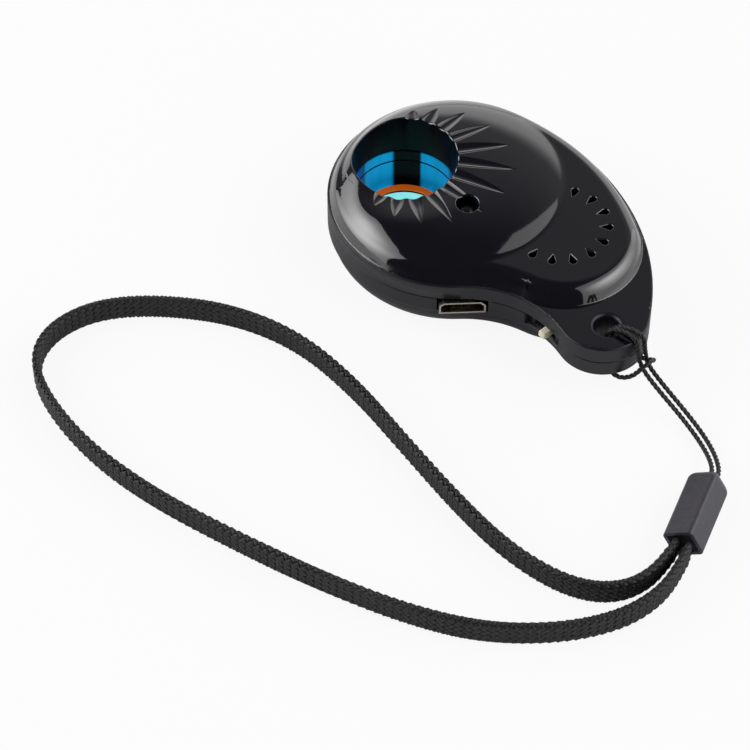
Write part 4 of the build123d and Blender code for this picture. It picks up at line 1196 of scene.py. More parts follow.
@dataclass(frozen=True)
class CasingForm:
    """The covers' outer shape in millimetres, from the head's centre, as heights over the plan."""

    head_radius: float = 20.5
    tail: Vector = Vector((35.0, 0.0))
    tail_radius: float = 7.35
    side_radius: float = 41.0
    waist_radius: float = 16.8
    lobe: Vector = Vector((20.3, 5.3))
    ledge: float = 0.5
    crease: float = 11.2
    foot: float = 5.0
    seam: float = 8.1
    edge_radius: float = 0.3
    pillow_height: float = 2.8
    pillow_radius: float = 2.5
    pillow_lean: float = 64.0
    pillow_inset: float = 0.28
    pillow_valley: float = 0.1
    dome_height: float = 5.2
    dome_foot: float = 20.4
    dome_sink: float = 0.3
    dome_bend: float = 0.35
    dome_drift: float = 1.3
    dome_middle: Vector = Vector((0.85, 0.45))
    dome_top: float = 7.0
    dome_halvings: int = 26
    port: Vector = Vector((-7.669, -3.7))
    port_radius: float = 8.6
    rim_radius: float = 0.3
    valley: float = 0.22
    dip_depth: float = 0.75
    dip_reach: float = 6.0
    dip_heading: float = -46.0
    flute_count: int = 12
    flute_pitch: float = 18.0
    flute_first: float = -67.4
    flute_width: float = 2.2
    flute_depth: float = 0.36
    flute_reach: float = 4.4
    flute_shift: float = 5.0
    flute_shift_turn: float = 30.0
    flute_lip: float = 0.07
    flute_taper: float = 0.9
    drop_count: int = 9
    drop_pitch: float = 24.4
    drop_first: float = -77.0
    drop_circle: float = 7.95
    drop_middle: Vector = Vector((18.43, 6.28))
    drop_radius: float = 0.6
    drop_tip: float = 1.5
    drop_lip: float = 0.16
    emitter: Vector = Vector((6.6, -3.0))
    emitter_radius: float = 1.85
    emitter_lip: float = 0.2
    eyelet: Vector = Vector((37.0, -1.04))
    eyelet_radius: float = 2.05
    eyelet_funnel: float = 0.65

    def walls(self) -> Comma:
        """The side walls' outline."""
        radii = (self.tail_radius, self.side_radius, self.waist_radius)
        return Comma(self.head_radius, self.tail, *radii)

    def pillow(self) -> Comma:
        """The outline of the raised pillow.

        Returns:
            The outline, a ledge inside the walls.
        """
        waist = self.walls().waist()
        return Comma(
            self.head_radius - self.ledge,
            self.lobe,
            (waist - self.lobe).length - self.waist_radius - self.ledge,
            self.side_radius - 2 * self.ledge,
            self.waist_radius + self.ledge,
        )

    def dome(self, x: Field, y: Field) -> Field:
        """Height of the dome, whose level circles drift towards the port as they rise.

        Args:
            x: Places eastwards, in millimetres.
            y: Places northwards, in millimetres.

        Returns:
            Heights in millimetres.
        """
        low = np.zeros(np.shape(x))
        high = np.full(np.shape(x), math.pi / 2)
        for _ in range(self.dome_halvings):
            turn = (low + high) / 2
            radius = self.dome_top + (self.dome_foot - self.dome_top) * np.cos(turn)
            drift = (1 - np.cos(turn)) ** self.dome_drift
            east = self.dome_middle.x * (1 - drift) + self.port.x * drift
            north = self.dome_middle.y * (1 - drift) + self.port.y * drift
            inside = np.hypot(x - east, y - north) < radius
            low, high = np.where(inside, turn, low), np.where(inside, high, turn)
        rise = (self.dome_height + self.dome_sink) * np.sin(low) - self.dome_sink
        return np.where(low > 1e-6, self.crease + rise, 0.0)

    def swell(self, x: Field, y: Field) -> Field:
        """Height of the walls' top, the pillow and the dome together, without their openings.

        Args:
            x: Places eastwards, in millimetres.
            y: Places northwards, in millimetres.

        Returns:
            Heights in millimetres.
        """
        inside = self.pillow().depth(x, y) - self.pillow_inset
        lean = math.radians(self.pillow_lean)
        straight = np.full(np.shape(x), self.pillow_radius * (1 - math.sin(lean)))
        plateau = self.crease + self.pillow_height
        slide = (straight - inside) * math.tan(lean)
        curve = plateau - rounded(np.maximum(inside, straight), self.pillow_radius)
        flank = np.where(inside > straight, curve, curve - slide)
        pillow = blended(flank, np.full(np.shape(x), self.crease), self.pillow_valley)
        limit = plateau - rounded(straight, self.pillow_radius) - slide
        dome = -blended(-self.dome(x, y), -limit, self.dome_bend)
        both = np.where(dome > 0, blended(dome, pillow, self.valley), pillow)
        edge = rounded(self.walls().depth(x, y), self.edge_radius)
        return np.maximum(both, 0) - edge

    def flute_axes(self) -> list[tuple[Vector, Vector, float]]:
        """Each flute's place on the rim, its direction in plan, and its length.

        Returns:
            One row for each flute, with lengths in millimetres.
        """
        axes = []
        circle = self.port_radius + self.flute_reach
        for i in range(self.flute_count):
            angle = self.flute_first + self.flute_pitch * i
            turn = math.radians(angle - self.flute_shift_turn)
            aside = self.flute_shift * math.sin(turn)
            reach = self.flute_shift * math.cos(turn) + math.sqrt(circle**2 - aside**2)
            way = heading(angle)
            axes.append((self.port + way * self.port_radius, way, reach - self.port_radius))
        return axes

    def fluted(self, x: Field, y: Field, height: Field) -> Field:
        """A height with the flutes cut into it.

        Args:
            x: Places' X.
            y: Places' Y.
            height: The height before the cut.

        Returns:
            The height after it.
        """
        for rim, way, length in self.flute_axes():
            along, across = along_way(x, y, rim, way)
            share = np.clip(along / length, 0.0, 1.0)
            narrowing = np.clip(1 - share**2, 0, None) ** self.flute_taper
            bend = across / np.maximum(self.flute_width / 2 * narrowing, 1e-4)
            cut = height - self.flute_depth * narrowing * (1 - bend**2)
            reach = (np.abs(across) < self.flute_width) & (along > -self.port_radius) & (share < 1)
            height = -blended(-height, -np.where(reach, cut, FAR), self.flute_lip)
        return height

    def drop_depth(self, x: Field, y: Field) -> Field:
        """How far places lie outside the nearest sound hole's edge.

        Args:
            x: Places eastwards, in millimetres.
            y: Places northwards, in millimetres.

        Returns:
            Distances in millimetres, negative inside a hole.
        """
        lean = math.asin(self.drop_radius / self.drop_tip)
        nearest = np.full(np.shape(x), FAR)
        for i in range(self.drop_count):
            way = heading(self.drop_first + self.drop_pitch * i)
            along, aside = along_way(x, y, self.drop_middle + way * self.drop_circle, way)
            across = np.abs(aside)
            off_side = across * math.cos(lean) - along * math.sin(lean) - self.drop_radius
            on_side = along * math.cos(lean) + across * math.sin(lean)
            round_end = np.hypot(along, across) - self.drop_radius
            tip = np.hypot(along + self.drop_tip, across)
            reach = -self.drop_tip * math.cos(lean)
            outside = np.where(on_side > 0, round_end, np.where(on_side > reach, off_side, tip))
            nearest = np.minimum(nearest, outside)
        return nearest

    def dip(self, x: Field, y: Field) -> Field:
        """How far the dome sinks towards the near side of the port's rim.

        Args:
            x: Places eastwards, in millimetres.
            y: Places northwards, in millimetres.

        Returns:
            Depths in millimetres.
        """
        along, aside = along_way(x, y, self.port, heading(self.dip_heading))
        away = np.maximum(np.hypot(along, aside), 1e-6)
        near = np.clip(along / away, 0.0, 1.0)
        fade = np.clip(1 - (away - self.port_radius) / self.dip_reach, 0.0, 1.0)
        return self.dip_depth * near**2 * fade**2 * (3 - 2 * fade)

    def top(self, x: Field, y: Field) -> Field:
        """Height of the upper cover's outer surface, with every rim and opening's lip.

        Args:
            x: Places eastwards, in millimetres.
            y: Places northwards, in millimetres.

        Returns:
            Heights in millimetres.
        """
        from_rim = beyond(x, y, self.port, self.port_radius)
        height = self.swell(x, y) - self.dip(x, y) - rounded(from_rim, self.rim_radius)
        height = self.fluted(x, y, height)
        height -= rounded(beyond(x, y, self.emitter, self.emitter_radius), self.emitter_lip)
        height -= rounded(self.drop_depth(x, y), self.drop_lip)
        return height - rounded(beyond(x, y, self.eyelet, self.eyelet_radius), self.eyelet_funnel)


def unit_rows(rows: Field) -> Field:
    """Each row of an array at length 1."""
    return rows / np.linalg.norm(rows, axis=1)[:, None]


def slope(rise: Callable[[Field, Field], Field], x: Field, y: Field, step: float) -> Field:
    """Upward unit normals of a height field.

    Args:
        rise: The height field.
        x: Places' X.
        y: Places' Y.
        step: Distance for the differences.

    Returns:
        An array of normals.
    """
    east = (rise(x + step, y) - rise(x - step, y)) / (2 * step)
    north = (rise(x, y + step) - rise(x, y - step)) / (2 * step)
    return unit_rows(np.stack([-east, -north, np.ones_like(east)], 1))


@dataclass
class Casing:
    """The two moulded covers: imported shells with exact normals, the upper one's outer skin laid
    anew, finer and smoother.

    Sizes are millimetres, apart from the weld, which is metres.
    """

    form: CasingForm = field(default_factory=CasingForm)
    crease_angle: float = math.radians(28.0)
    weld: float = 1e-6
    rim_steps: int = 360
    eyelet_steps: int = 120
    longest_edge: float = 0.14
    coarse: float = 0.45
    flute_grid: float = 0.15
    lip_grid: float = 0.06
    lip_band: Stretch = (0.01, 0.26)
    ring_spacing: float = 0.25
    ring_steps: tuple[float, ...] = (
        0.0, 0.025, 0.07, 0.13, 0.22, 0.33, 0.47, 0.64, 0.86, 1.14, 1.5, 1.95, 2.5
    )
    fan_margin: float = 10.0
    fan_reach: float = 9.2
    skin_reach: float = 0.95
    skin_rim: float = 0.4
    flat_rise: float = 0.01
    level_rise: float = 0.2
    port_band: float = 1.0
    bore_foot: float = 0.51
    bore_slack: float = 0.05
    crease_slack: float = 0.001
    ring_squeeze: float = 0.6
    funnel_spread: float = 1.8
    funnel_start: float = 0.02
    off_hole: float = 0.05
    edge_clearance: float = 0.006
    closest: float = 0.012
    slope_step: float = 0.004
    wall_slack: float = 0.01
    wall_slant: float = 0.97
    wall_step: float = 0.01
    most_tilt: float = 0.999
    wall_facing: float = 0.8
    seam_gap: float = 0.115
    throat_slack: float = 0.03

    def __post_init__(self) -> None:
        """Find the head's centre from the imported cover."""
        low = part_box("upper_cover")[0]
        self.middle = np.array([low[0] / MM, low[1] / MM]) + self.form.head_radius

    def plan(self, places: Field) -> tuple[Field, Field, Field]:
        """X, Y and Z in millimetres from the head's centre, for places in metres."""
        x, y, z = places.T / MM
        return x - self.middle[0], y - self.middle[1], z

    def merged(self, node: str) -> bmesh.types.BMesh:
        """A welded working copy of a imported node's mesh.

        Args:
            node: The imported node's name.

        Returns:
            The working mesh.
        """
        work = bmesh.new()
        work.from_mesh(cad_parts[node].data)
        bmesh.ops.remove_doubles(work, verts=work.verts, dist=self.weld)
        return work

    def strip_skin(self, work: bmesh.types.BMesh) -> None:
        """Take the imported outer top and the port's bore off the upper cover.

        Args:
            work: The cover's mesh, changed in place.
        """
        form = self.form
        x, y, z = self.plan(np.array([face.calc_center_median() for face in work.faces]))
        rise = np.array([face.normal.z for face in work.faces])
        above = z > form.crease - self.crease_slack
        facing = rise > self.flat_rise
        from_emitter = beyond(x, y, form.emitter, form.emitter_radius)
        off_holes = np.minimum(form.drop_depth(x, y), from_emitter) > self.off_hole
        outer = (z > form.swell(x, y) - self.skin_reach) & ((rise > self.level_rise) | off_holes)
        skin = above & (facing | outer | (form.pillow().depth(x, y) < self.skin_rim))
        at_eyelet = beyond(x, y, form.eyelet, form.eyelet_radius) < form.eyelet_funnel
        skin |= at_eyelet & facing & (z > form.crease - form.eyelet_funnel)
        at_port = beyond(x, y, form.port, form.port_radius) < self.port_band
        skin |= at_port & (z > form.seam + self.bore_foot)
        work.faces.ensure_lookup_table()
        bmesh.ops.delete(work, geom=[work.faces[i] for i in np.flatnonzero(skin)], context="FACES")

    def split_edges(self, work: bmesh.types.BMesh, longest: float) -> None:
        """Divide the open edges until none is longer than a length in millimetres.

        Args:
            work: The working mesh.
            longest: The longest edge that may stay.
        """
        groups: dict[int, list[bmesh.types.BMEdge]] = {}
        for edge in work.edges:
            if edge.is_boundary:
                cuts = math.ceil(edge.calc_length() / MM / longest) - 1
                groups.setdefault(cuts, []).append(edge)
        for cuts, edges in groups.items():
            if cuts > 0:
                bmesh.ops.subdivide_edges(work, edges=edges, cuts=cuts)

    def circle(self, centre: Vector, radius: float, count: int) -> Field:
        """Places evenly round a circle."""
        return on_circle(centre, radius, np.arange(count) * math.tau / count)

    def grid(self, spacing: float) -> Field:
        """Places in a triangular grid over the whole plan.

        Args:
            spacing: Distance between neighbours in a row, in millimetres.

        Returns:
            One row for each place.
        """
        form = self.form
        rows = np.arange(-form.head_radius, form.head_radius + 2, spacing * math.sqrt(3) / 2)
        columns = np.arange(-form.head_radius, form.tail.x + form.tail_radius, spacing)
        x, y = np.meshgrid(columns, rows)
        x = x + (np.arange(len(rows)) % 2)[:, None] * spacing / 2
        return np.stack([x.ravel(), y.ravel()], 1)

    def clearance(self, places: Field) -> Field:
        """How far places lie from the nearest edge of the skin, negative off it.

        Args:
            places: One row for each place.

        Returns:
            Distances in millimetres.
        """
        form = self.form
        x, y = places.T
        clear = form.walls().depth(x, y) - form.edge_radius
        for centre, radius in (
            (form.port, form.port_radius),
            (form.emitter, form.emitter_radius),
            (form.eyelet, form.eyelet_radius),
        ):
            clear = np.minimum(clear, beyond(x, y, centre, radius))
        return np.minimum(clear, form.drop_depth(x, y))

    def skin_places(self) -> Field:
        """Places for the new skin, closest where it bends most.

        Returns:
            One row for each place.
        """
        form = self.form
        steps = np.array(self.ring_steps)
        sets = [self.grid(self.coarse)]
        fine = self.grid(self.flute_grid)
        east, north = (fine - np.array(form.port)).T
        turn = np.degrees(np.arctan2(north, east)) - form.flute_first
        reach = np.hypot(east, north) - form.port_radius
        in_fan = (turn > -self.fan_margin) & (turn < form.flute_pitch * form.flute_count)
        sets.append(fine[in_fan & (reach > 0) & (reach < self.fan_reach)])
        lips = self.grid(self.lip_grid)
        from_emitter = beyond(*lips.T, form.emitter, form.emitter_radius)
        from_hole = np.minimum(form.drop_depth(*lips.T), from_emitter)
        sets.append(lips[(from_hole > self.lip_band[0]) & (from_hole < self.lip_band[1])])
        for step in steps:
            sets.append(form.pillow().ring(step, self.ring_spacing))
        for step in steps[1:8] * self.ring_squeeze:
            sets.append(form.pillow().ring(-step - self.closest, self.ring_spacing))
            radius = form.eyelet_radius + self.funnel_start + step * self.funnel_spread
            sets.append(self.circle(form.eyelet, radius, self.eyelet_steps))
        for step in steps[1:11]:
            sets.append(self.circle(form.port, form.port_radius + step, self.rim_steps))
        places = np.concatenate(sets)
        places = places[self.clearance(places) > self.edge_clearance]
        cells = np.round(places / self.closest).astype(int)
        _, first = np.unique(cells, axis=0, return_index=True)
        return places[np.sort(first)]

    def lay_skin(self, work: bmesh.types.BMesh) -> range:
        """Triangulate the skin between the open edges and the port's rim, and raise it to its form.

        Args:
            work: The stripped cover, changed in place.

        Returns:
            The numbers of the new faces.
        """
        form = self.form
        old_faces = len(work.faces)
        bore_edges = []
        skin_edges = []
        for edge in (edge for edge in work.edges if edge.is_boundary):
            x, y, _ = self.plan(np.array([(edge.verts[0].co + edge.verts[1].co) / 2]))
            at_bore = abs(beyond(x[0], y[0], form.port, form.port_radius)) < self.bore_slack
            (bore_edges if at_bore else skin_edges).append(edge)
        corners = list(dict.fromkeys(vertex for edge in skin_edges for vertex in edge.verts))
        x, y, _ = self.plan(np.array([vertex.co for vertex in corners]))
        rim = self.circle(form.port, form.port_radius, self.rim_steps)
        inner = self.skin_places()
        places = np.concatenate([np.stack([x, y], 1), rim, inner])
        row = {vertex: i for i, vertex in enumerate(corners)}
        wires = [(row[edge.verts[0]], row[edge.verts[1]]) for edge in skin_edges]
        start = len(corners)
        wires += [(start + i, start + (i + 1) % self.rim_steps) for i in range(self.rim_steps)]
        made_of = delaunay_2d_cdt([Vector(p) for p in places], wires, [], 0, 1e-5)
        flat, triangles, sources = np.array(made_of[0]), made_of[2], made_of[3]
        heights = form.top(flat[:, 0], flat[:, 1])
        middles = flat[np.array(triangles)].mean(axis=1)
        wanted = self.clearance(middles) > 0
        used = {index for triangle, keep in zip(triangles, wanted) if keep for index in triangle}
        made = {}
        for index in used:
            place = (*(flat[index] + self.middle) * MM, heights[index] * MM)
            known = next((source for source in sources[index] if source < start), None)
            if known is None:
                made[index] = work.verts.new(place)
            else:
                made[index] = corners[known]
                made[index].co.z = place[2]
        for triangle, keep in zip(triangles, wanted):
            if keep:
                face = work.faces.new([made[index] for index in triangle])
                face.normal_update()
                if face.normal.z < 0:
                    face.normal_flip()
        rim_of = {source: index for index in used for source in sources[index]}
        ring = [made[rim_of[start + i]] for i in range(self.rim_steps)]
        ring_edges = [work.edges.get((a, b)) for a, b in zip(ring, ring[1:] + ring[:1])]
        bmesh.ops.bridge_loops(work, edges=[edge for edge in ring_edges if edge] + bore_edges)
        return range(old_faces, len(work.faces))

    def corner_normals(self, mesh: bpy.types.Mesh, skin: range, top: float) -> None:
        """Set exact normals on the skin and the side walls, and leave the others to the mesh.

        Args:
            mesh: The cover's mesh.
            skin: The skin's faces.
            top: Height at which the walls' rounded edge ends.
        """
        form = self.form
        corners = read(mesh.loops, "vertex_index", kind=np.int32)
        x, y, z = self.plan(read(mesh.vertices, "co", 3))
        totals = read(mesh.polygons, "loop_total", kind=np.int32)
        face_of = np.repeat(np.arange(len(mesh.polygons)), totals)
        flat = read(mesh.polygons, "normal", 3)[face_of]
        on_skin = (face_of >= skin.start) & (face_of < skin.stop)
        spots = np.unique(corners[on_skin])
        inner = spots[self.clearance(np.stack([x, y], 1)[spots]) > self.slope_step]
        exact = np.zeros((len(x), 3))
        np.add.at(exact, corners[on_skin], flat[on_skin])
        exact[inner] = slope(form.top, x[inner], y[inner], self.slope_step)
        normals = np.zeros((len(corners), 3))
        normals[on_skin] = exact[corners[on_skin]]
        walls = self.wall_normals(x, y, z, top)
        by_wall = form.walls().depth(x, y) < form.edge_radius + self.wall_slack
        by_wall &= np.abs(z - form.seam) > self.seam_gap
        on_wall = by_wall[corners] & (np.abs(flat[:, 2]) < self.wall_slant) & ~on_skin
        on_wall &= (walls[corners] * flat).sum(1) > self.wall_facing
        normals[on_wall] = walls[corners[on_wall]]
        known = np.linalg.norm(normals, axis=1) > 0
        normals[known] = unit_rows(normals[known])
        mesh.shade_smooth()
        mesh.set_sharp_from_angle(angle=self.crease_angle)
        mesh.normals_split_custom_set(normals.tolist())

    def wall_normals(self, x: Field, y: Field, z: Field, top: float) -> Field:
        """Normals of the side walls and their rounded edge.

        Args:
            x: Places' X.
            y: Places' Y.
            z: Places' height.
            top: Height at which the rounded edge ends.

        Returns:
            An array of unit normals, level below the edge.
        """
        level = slope(self.form.walls().depth, x, y, self.wall_step)
        level[:, 2] = 0
        up = np.clip(1 - np.abs(z - top) / self.form.edge_radius, 0, self.most_tilt)
        tilt = (up * np.sign(top - self.form.seam))[:, None]
        return unit_rows(level) * np.sqrt(1 - tilt**2) + np.array([0, 0, 1]) * tilt

    def piece(self, name: str, work: bmesh.types.BMesh, node: str) -> bpy.types.Object:
        """Turn a working mesh into the piece that stands for a packed cover.

        Args:
            name: The piece's name.
            work: The working mesh.
            node: The node that it stands for.

        Returns:
            The piece.
        """
        mesh = mesh_from(name, work)
        piece = new_object(name, mesh)
        WARDROBE.dress(piece, GLOSS_BLACK, WALL_BLACK, THROAT_BLACK)
        x, y, z = self.plan(read(mesh.vertices, "co", 3))
        in_port = beyond(x, y, self.form.port, self.form.port_radius) < self.throat_slack
        for polygon in mesh.polygons:
            corners = list(polygon.vertices)
            low = z[corners].min() < self.form.crease - self.wall_slack
            polygon.material_index = 2 if in_port[corners].all() else int(low)
        seat(piece, "casing", node)
        LOG.info("%s: %d faces", name, len(mesh.polygons))
        return piece

    def upper(self) -> None:
        """The upper cover with its dome, pillow, flutes and openings."""
        work = self.merged("upper_cover")
        self.strip_skin(work)
        self.split_edges(work, self.longest_edge)
        skin = self.lay_skin(work)
        piece = self.piece("upper_cover_shell", work, "upper_cover")
        self.corner_normals(piece.data, skin, self.form.crease)

    def lower(self) -> None:
        """The lower cover with its belly."""
        work = self.merged("lower_cover")
        piece = self.piece("lower_cover_shell", work, "lower_cover")
        self.corner_normals(piece.data, range(0), self.form.foot)

    def build(self) -> None:
        """Make both covers."""
        self.upper()
        self.lower()


# ---- turned pieces --------------------------------------------------------------------------
@dataclass
class Lathe:
    """Turns a closed profile, in millimetres, round an upright axis."""

    name: str
    profile: Sequence[tuple[float, float]]
    centre: Vector
    finish: Finish
    steps: int = 200
    sharp: float = math.radians(40.0)

    def outline(self) -> bpy.types.Object:
        """The profile as a closed row of points in the XZ plane, in metres.

        Returns:
            The object that the lathe turns.
        """
        mesh = bpy.data.meshes.new(self.name + "_profile")
        points = [*self.profile, self.profile[0]]
        edges = [(i, i + 1) for i in range(len(points) - 1)]
        mesh.from_pydata([(radius * MM, 0.0, height * MM) for radius, height in points], edges, [])
        return new_object(self.name + "_profile", mesh)

    def build(self) -> bpy.types.Object:
        """Turn the profile.

        Returns:
            The new piece, with outward faces.
        """
        outline = self.outline()
        sizes = {
            "Profile": outline,
            "Rows": len(self.profile) + 1,
            "Steps": self.steps,
            "Centre X": self.centre.x * MM,
            "Centre Y": self.centre.y * MM,
            "Material": WARDROBE.get(self.finish),
        }
        loom = Loom(self.name + "_tree", sizes)
        graph = loom.graph
        grid = loom.grid(loom.size("Steps") + 1.0, loom.size("Rows"))
        place = Arrow(graph, graph.add("GeometryNodeInputPosition").outputs[0])
        across, up, _ = place.parts()
        turn = (across + 0.5) * math.tau
        row = graph.math("ROUND", (up + 0.5) * (loom.size("Rows") - 1.0))
        inputs = {"Geometry": loom.shape("Profile"), "Value": place, "Index": row}
        kind = {"data_type": "FLOAT_VECTOR", "domain": "POINT"}
        sample = graph.add("GeometryNodeSampleIndex", inputs, **kind)
        radius, _, height = Arrow(graph, sample.outputs[0]).parts()
        x = graph.cosine(turn) * radius + loom.size("Centre X")
        y = graph.sine(turn) * radius + loom.size("Centre Y")
        loom.finish(loom.moved(grid, graph.joined(x, y, height)))
        piece = loom.bake(self.name)
        bpy.data.objects.remove(outline)
        work = bmesh.new()
        work.from_mesh(piece.data)
        bmesh.ops.recalc_face_normals(work, faces=work.faces)
        work.to_mesh(piece.data)
        work.free()
        piece.data.set_sharp_from_angle(angle=self.sharp)
        LOG.info("%s: %d faces", self.name, len(piece.data.polygons))
        return piece


@dataclass
class Port:
    """The viewing port's liner with its fine groove and painted cyan reflections, and the coloured
    ring above the filter with its painted glow.
    """

    outer_radius: float = 8.95
    liner_radius: float = 8.4
    liner_foot: float = 1.7
    liner_top: float = 8.6
    groove_foot: float = 6.3
    groove_top: float = 6.6
    groove_radius: float = 8.65
    throat_radius: float = 7.35
    throat_height: float = 2.5
    throat_lip: float = 0.3
    throat_step: float = 0.08
    ring_radius: float = 6.25
    ring_foot: float = 1.4
    ring_edge: float = 0.12
    ring_slant: float = 0.3
    glow_heading: float = 48.6

    def bore(self, centre: Vector) -> Bore:
        """The liner's finish with its painted cyan bands, round the port's axis.

        Args:
            centre: The port's middle, in millimetres.

        Returns:
            The finish.
        """
        return Bore(
            "bore_black_painted_cyan",
            (0.002, 0.002, 0.0024, 1.0),
            0.25,
            glow=(0.006, 0.38, 0.74, 1.0),
            deep=(0.004, 0.08, 0.36, 1.0),
            centre=(centre.x * MM, centre.y * MM, 0.0),
            radius=self.liner_radius * MM,
            heading=self.glow_heading,
            groove=(self.groove_foot + self.groove_top) / 2 * MM,
            groove_width=(self.groove_top - self.groove_foot) * MM,
        )

    def build(self, centre: Vector) -> None:
        """Turn the liner and the ring.

        Args:
            centre: The port's axis in millimetres.
        """
        liner = [
            (self.outer_radius, self.liner_foot),
            (self.outer_radius, self.liner_top),
            (self.liner_radius, self.liner_top),
            (self.liner_radius, self.groove_top),
            (self.groove_radius, self.groove_top),
            (self.groove_radius, self.groove_foot),
            (self.liner_radius, self.groove_foot),
            (self.liner_radius, self.throat_height + self.throat_lip),
            (self.liner_radius - self.throat_step, self.throat_height),
            (self.throat_radius, self.liner_foot),
        ]
        piece = Lathe("port_liner", liner, centre, self.bore(centre)).build()
        seat(piece, "casing", "viewing_tube")
        slant = self.ring_edge * self.ring_slant
        ring = [
            (self.outer_radius, self.ring_foot),
            (self.outer_radius, self.liner_foot),
            (self.ring_radius + self.ring_edge, self.liner_foot),
            (self.ring_radius + slant, self.liner_foot - slant),
            (self.ring_radius, self.liner_foot - self.ring_edge),
            (self.ring_radius, self.ring_foot),
        ]
        piece = Lathe("port_ring", ring, centre, ORANGE_WITH_PAINTED_GLOW).build()
        seat(piece, "casing", "filter_ring")


@dataclass
class Knob:
    """The switch's small cream knob, rounded at its tip, on the slider inside the can."""

    width: float = 1.45
    height: float = 1.2
    tip_radius: float = 0.32
    aside: float = -0.25
    reach: float = 2.75
    slider_radius: float = 0.05
    segments: int = 4
    sharp: float = math.radians(50.0)

    def build(self) -> None:
        """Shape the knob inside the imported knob's box."""
        low, high = (Vector(corner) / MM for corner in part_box("switch_knob"))
        middle = (low + high) / 2
        work = bmesh.new()
        slider_width = high.y - low.y - self.reach
        slider = Vector((high.x - low.x, slider_width, high.z - low.z))
        at = Vector((middle.x, high.y - slider_width / 2, middle.z))
        self.block(work, at, slider, self.slider_radius)
        length = high.y - slider_width / 2 - low.y
        at = Vector((middle.x + self.aside, low.y + length / 2, middle.z))
        self.block(work, at, Vector((self.width, length, self.height)), self.tip_radius)
        mesh = mesh_from("knob", work)
        mesh.shade_smooth()
        mesh.set_sharp_from_angle(angle=self.sharp)
        piece = new_object("knob_cap", mesh)
        WARDROBE.dress(piece, CREAM)
        seat(piece, "knob", "switch_knob")
        LOG.info("knob_cap: %d faces", len(mesh.polygons))

    def block(self, work: bmesh.types.BMesh, at: Vector, size: Vector, radius: float) -> None:
        """Add a block with rounded edges.

        Args:
            work: The mesh to add to.
            at: Its middle in millimetres.
            size: Its size in millimetres.
            radius: Its edges' radius in millimetres.
        """
        made = bmesh.ops.create_cube(work, size=1.0)["verts"]
        for vertex in made:
            vertex.co = Vector((c * s + a for c, s, a in zip(vertex.co, size, at))) * MM
        edges = list(dict.fromkeys(edge for vertex in made for edge in vertex.link_edges))
        round_off = {"segments": self.segments, "profile": 0.5, "affect": "EDGES"}
        bmesh.ops.bevel(work, geom=edges, offset=radius * MM, **round_off)


# ---- studio ---------------------------------------------------------------------------------
@dataclass(frozen=True)
class SoftPanel:
    """An upright soft light beside the finder, brightest in its middle and dimmer at its edges."""

    name: str
    azimuth: float
    width: float
    height: float
    watts: float
    hot_height: float
    distance: float = 0.6
    edge_level: float = 0.25
    hot_width: float = 0.35
    hot_reach: float = 0.32

    def build(self) -> None:
        """Hang the panel on its side of the finder, facing it."""
        data = bpy.data.lights.new(self.name, "AREA")
        data.shape = "RECTANGLE"
        data.size, data.size_y = self.width, self.height
        data.energy = self.watts
        data.use_nodes = True
        graph = Graph(data.node_tree)
        place = graph.add("ShaderNodeNewGeometry").outputs["Parametric"]
        across, up, _ = Arrow(graph, place).parts()
        off = (across - 0.5) * (1 / self.hot_width)
        rise = (up - self.hot_height) * (1 / self.hot_reach)
        hot = graph.math("EXPONENT", (off * off + rise * rise) * -1.0)
        emission = data.node_tree.nodes["Emission"]
        graph.feed(emission.inputs["Strength"], hot * (1 - self.edge_level) + self.edge_level)
        lamp = new_object(self.name, data)
        way = heading(self.azimuth).to_3d()
        lamp.location = way * self.distance + Vector((0.0, 0.0, self.height / 2))
        lamp.rotation_euler = way.to_track_quat("Z", "Y").to_euler()
        lamp.visible_camera = False


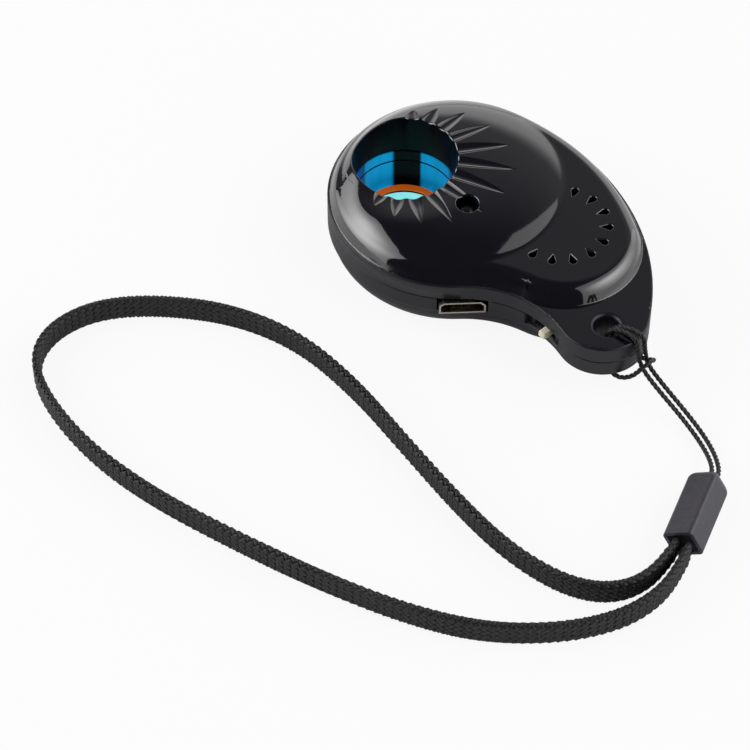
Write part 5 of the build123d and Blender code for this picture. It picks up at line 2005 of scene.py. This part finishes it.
@dataclass
class Studio:
    """Camera, lamps, floor and surroundings."""

    camera_at: Point = (0.2312, -0.2311, 0.3696)
    look_at: Point = (0.00505, -0.0317, 0.0038)
    lens: float = 144.0
    sensor: float = 36.0
    clip: Stretch = (0.01, 20.0)
    floor_size: float = 3.0
    floor_gap: float = 0.00004
    panels: tuple[SoftPanel, ...] = (
        SoftPanel("left_panel", -133.0, 0.87, 1.13, 12.5, 0.36),
        SoftPanel(
            "right_panel", 40.0, 1.8, 2.1, 37.0, 0.28,
            edge_level=0.2, hot_width=0.26, hot_reach=0.21,
        ),
    )
    sweep_azimuth: float = 130.0
    sweep_level: float = 0.7
    haze_level: float = 0.16
    sweep_sides: Stretch = (0.65, 0.87)
    sweep_rise: Stretch = (0.58, 0.38)
    haze_sides: Stretch = (0.35, 0.9)
    haze_rise: Stretch = (0.97, 0.6)
    room_level: float = 0.035
    paper_colour: Colour = (0.86, 0.86, 0.86, 1.0)
    paper_glow: float = 0.9

    def camera(self) -> None:
        """The camera at the product's usual three-quarter view."""
        data = bpy.data.cameras.new("camera")
        data.lens = self.lens
        data.sensor_width = self.sensor
        data.clip_start, data.clip_end = self.clip
        camera = new_object("camera", data)
        camera.location = self.camera_at
        way = Vector(self.look_at) - Vector(self.camera_at)
        camera.rotation_euler = way.to_track_quat("-Z", "Y").to_euler()
        bpy.context.scene.camera = camera

    def paper(self) -> bpy.types.Material:
        """Floor paper: white where it is seen, pale in reflections, and clear from below.

        Returns:
            The material, ready to assign.
        """
        material = bpy.data.materials.new("floor_paper")
        material.use_nodes = True
        graph = Graph(material.node_tree)
        material.node_tree.nodes.remove(material.node_tree.nodes["Principled BSDF"])
        shade = graph.add("ShaderNodeBsdfDiffuse", {"Color": self.paper_colour})
        glow = graph.add("ShaderNodeEmission", {"Color": WHITE, "Strength": 1.0})
        inputs = {0: graph.seen() * self.paper_glow, 1: shade.outputs[0], 2: glow.outputs[0]}
        both = graph.add("ShaderNodeMixShader", inputs)
        below = graph.add("ShaderNodeNewGeometry").outputs["Backfacing"]
        clear = graph.add("ShaderNodeBsdfTransparent")
        inputs = {0: below, 1: both.outputs[0], 2: clear.outputs[0]}
        sided = graph.add("ShaderNodeMixShader", inputs)
        output = material.node_tree.nodes["Material Output"]
        graph.feed(output.inputs["Surface"], sided.outputs[0])
        return material

    def floor(self) -> None:
        """A plain pale floor under the finder."""
        mesh = bpy.data.meshes.new("floor")
        half = self.floor_size / 2
        low = -self.floor_gap
        corners = [(-half, -half, low), (half, -half, low), (half, half, low), (-half, half, low)]
        mesh.from_pydata(corners, [], [(0, 1, 2, 3)])
        mesh.materials.append(self.paper())
        new_object("floor", mesh)

    def surroundings(self) -> None:
        """A white sweep behind the finder that fades to a dim room above and in front."""
        world = bpy.data.worlds.new("studio")
        bpy.context.scene.world = world
        world.use_nodes = True
        graph = Graph(world.node_tree)
        x, y, z = graph.chart("Generated").parts()
        back = heading(self.sweep_azimuth)
        level = graph.math("SQRT", graph.math("MAXIMUM", x * x + y * y, 1e-6))
        behind = (x * back.x + y * back.y) / level
        sweep = graph.smooth(behind, *self.sweep_sides) * graph.smooth(z, *self.sweep_rise)
        haze = graph.smooth(behind, *self.haze_sides) * graph.smooth(z, *self.haze_rise)
        room = sweep * self.sweep_level + haze * self.haze_level + self.room_level
        backdrop = world.node_tree.nodes["Background"]
        backdrop.inputs["Color"].default_value = WHITE
        graph.feed(backdrop.inputs["Strength"], room + graph.seen() * (room * -1.0 + 1.0))
        bpy.context.scene.view_settings.view_transform = "Standard"

    def light(self) -> None:
        """Hang the panels and lay the floor."""
        for panel in self.panels:
            panel.build()
        self.floor()
        self.surroundings()


def main() -> None:
    """Build and dress the finder in order."""
    logging.basicConfig(level=logging.INFO, format="%(name)s %(message)s")
    studio = Studio()
    studio.camera()
    Lanyard().build()
    casing = Casing()
    casing.build()
    Port().build(Vector((casing.middle[0], casing.middle[1])) + casing.form.port)
    Knob().build()
    for finish, nodes in NODE_FINISHES.items():
        for node in nodes:
            WARDROBE.dress_node(node, finish)
    studio.light()


if __name__ == "__main__":
    main()
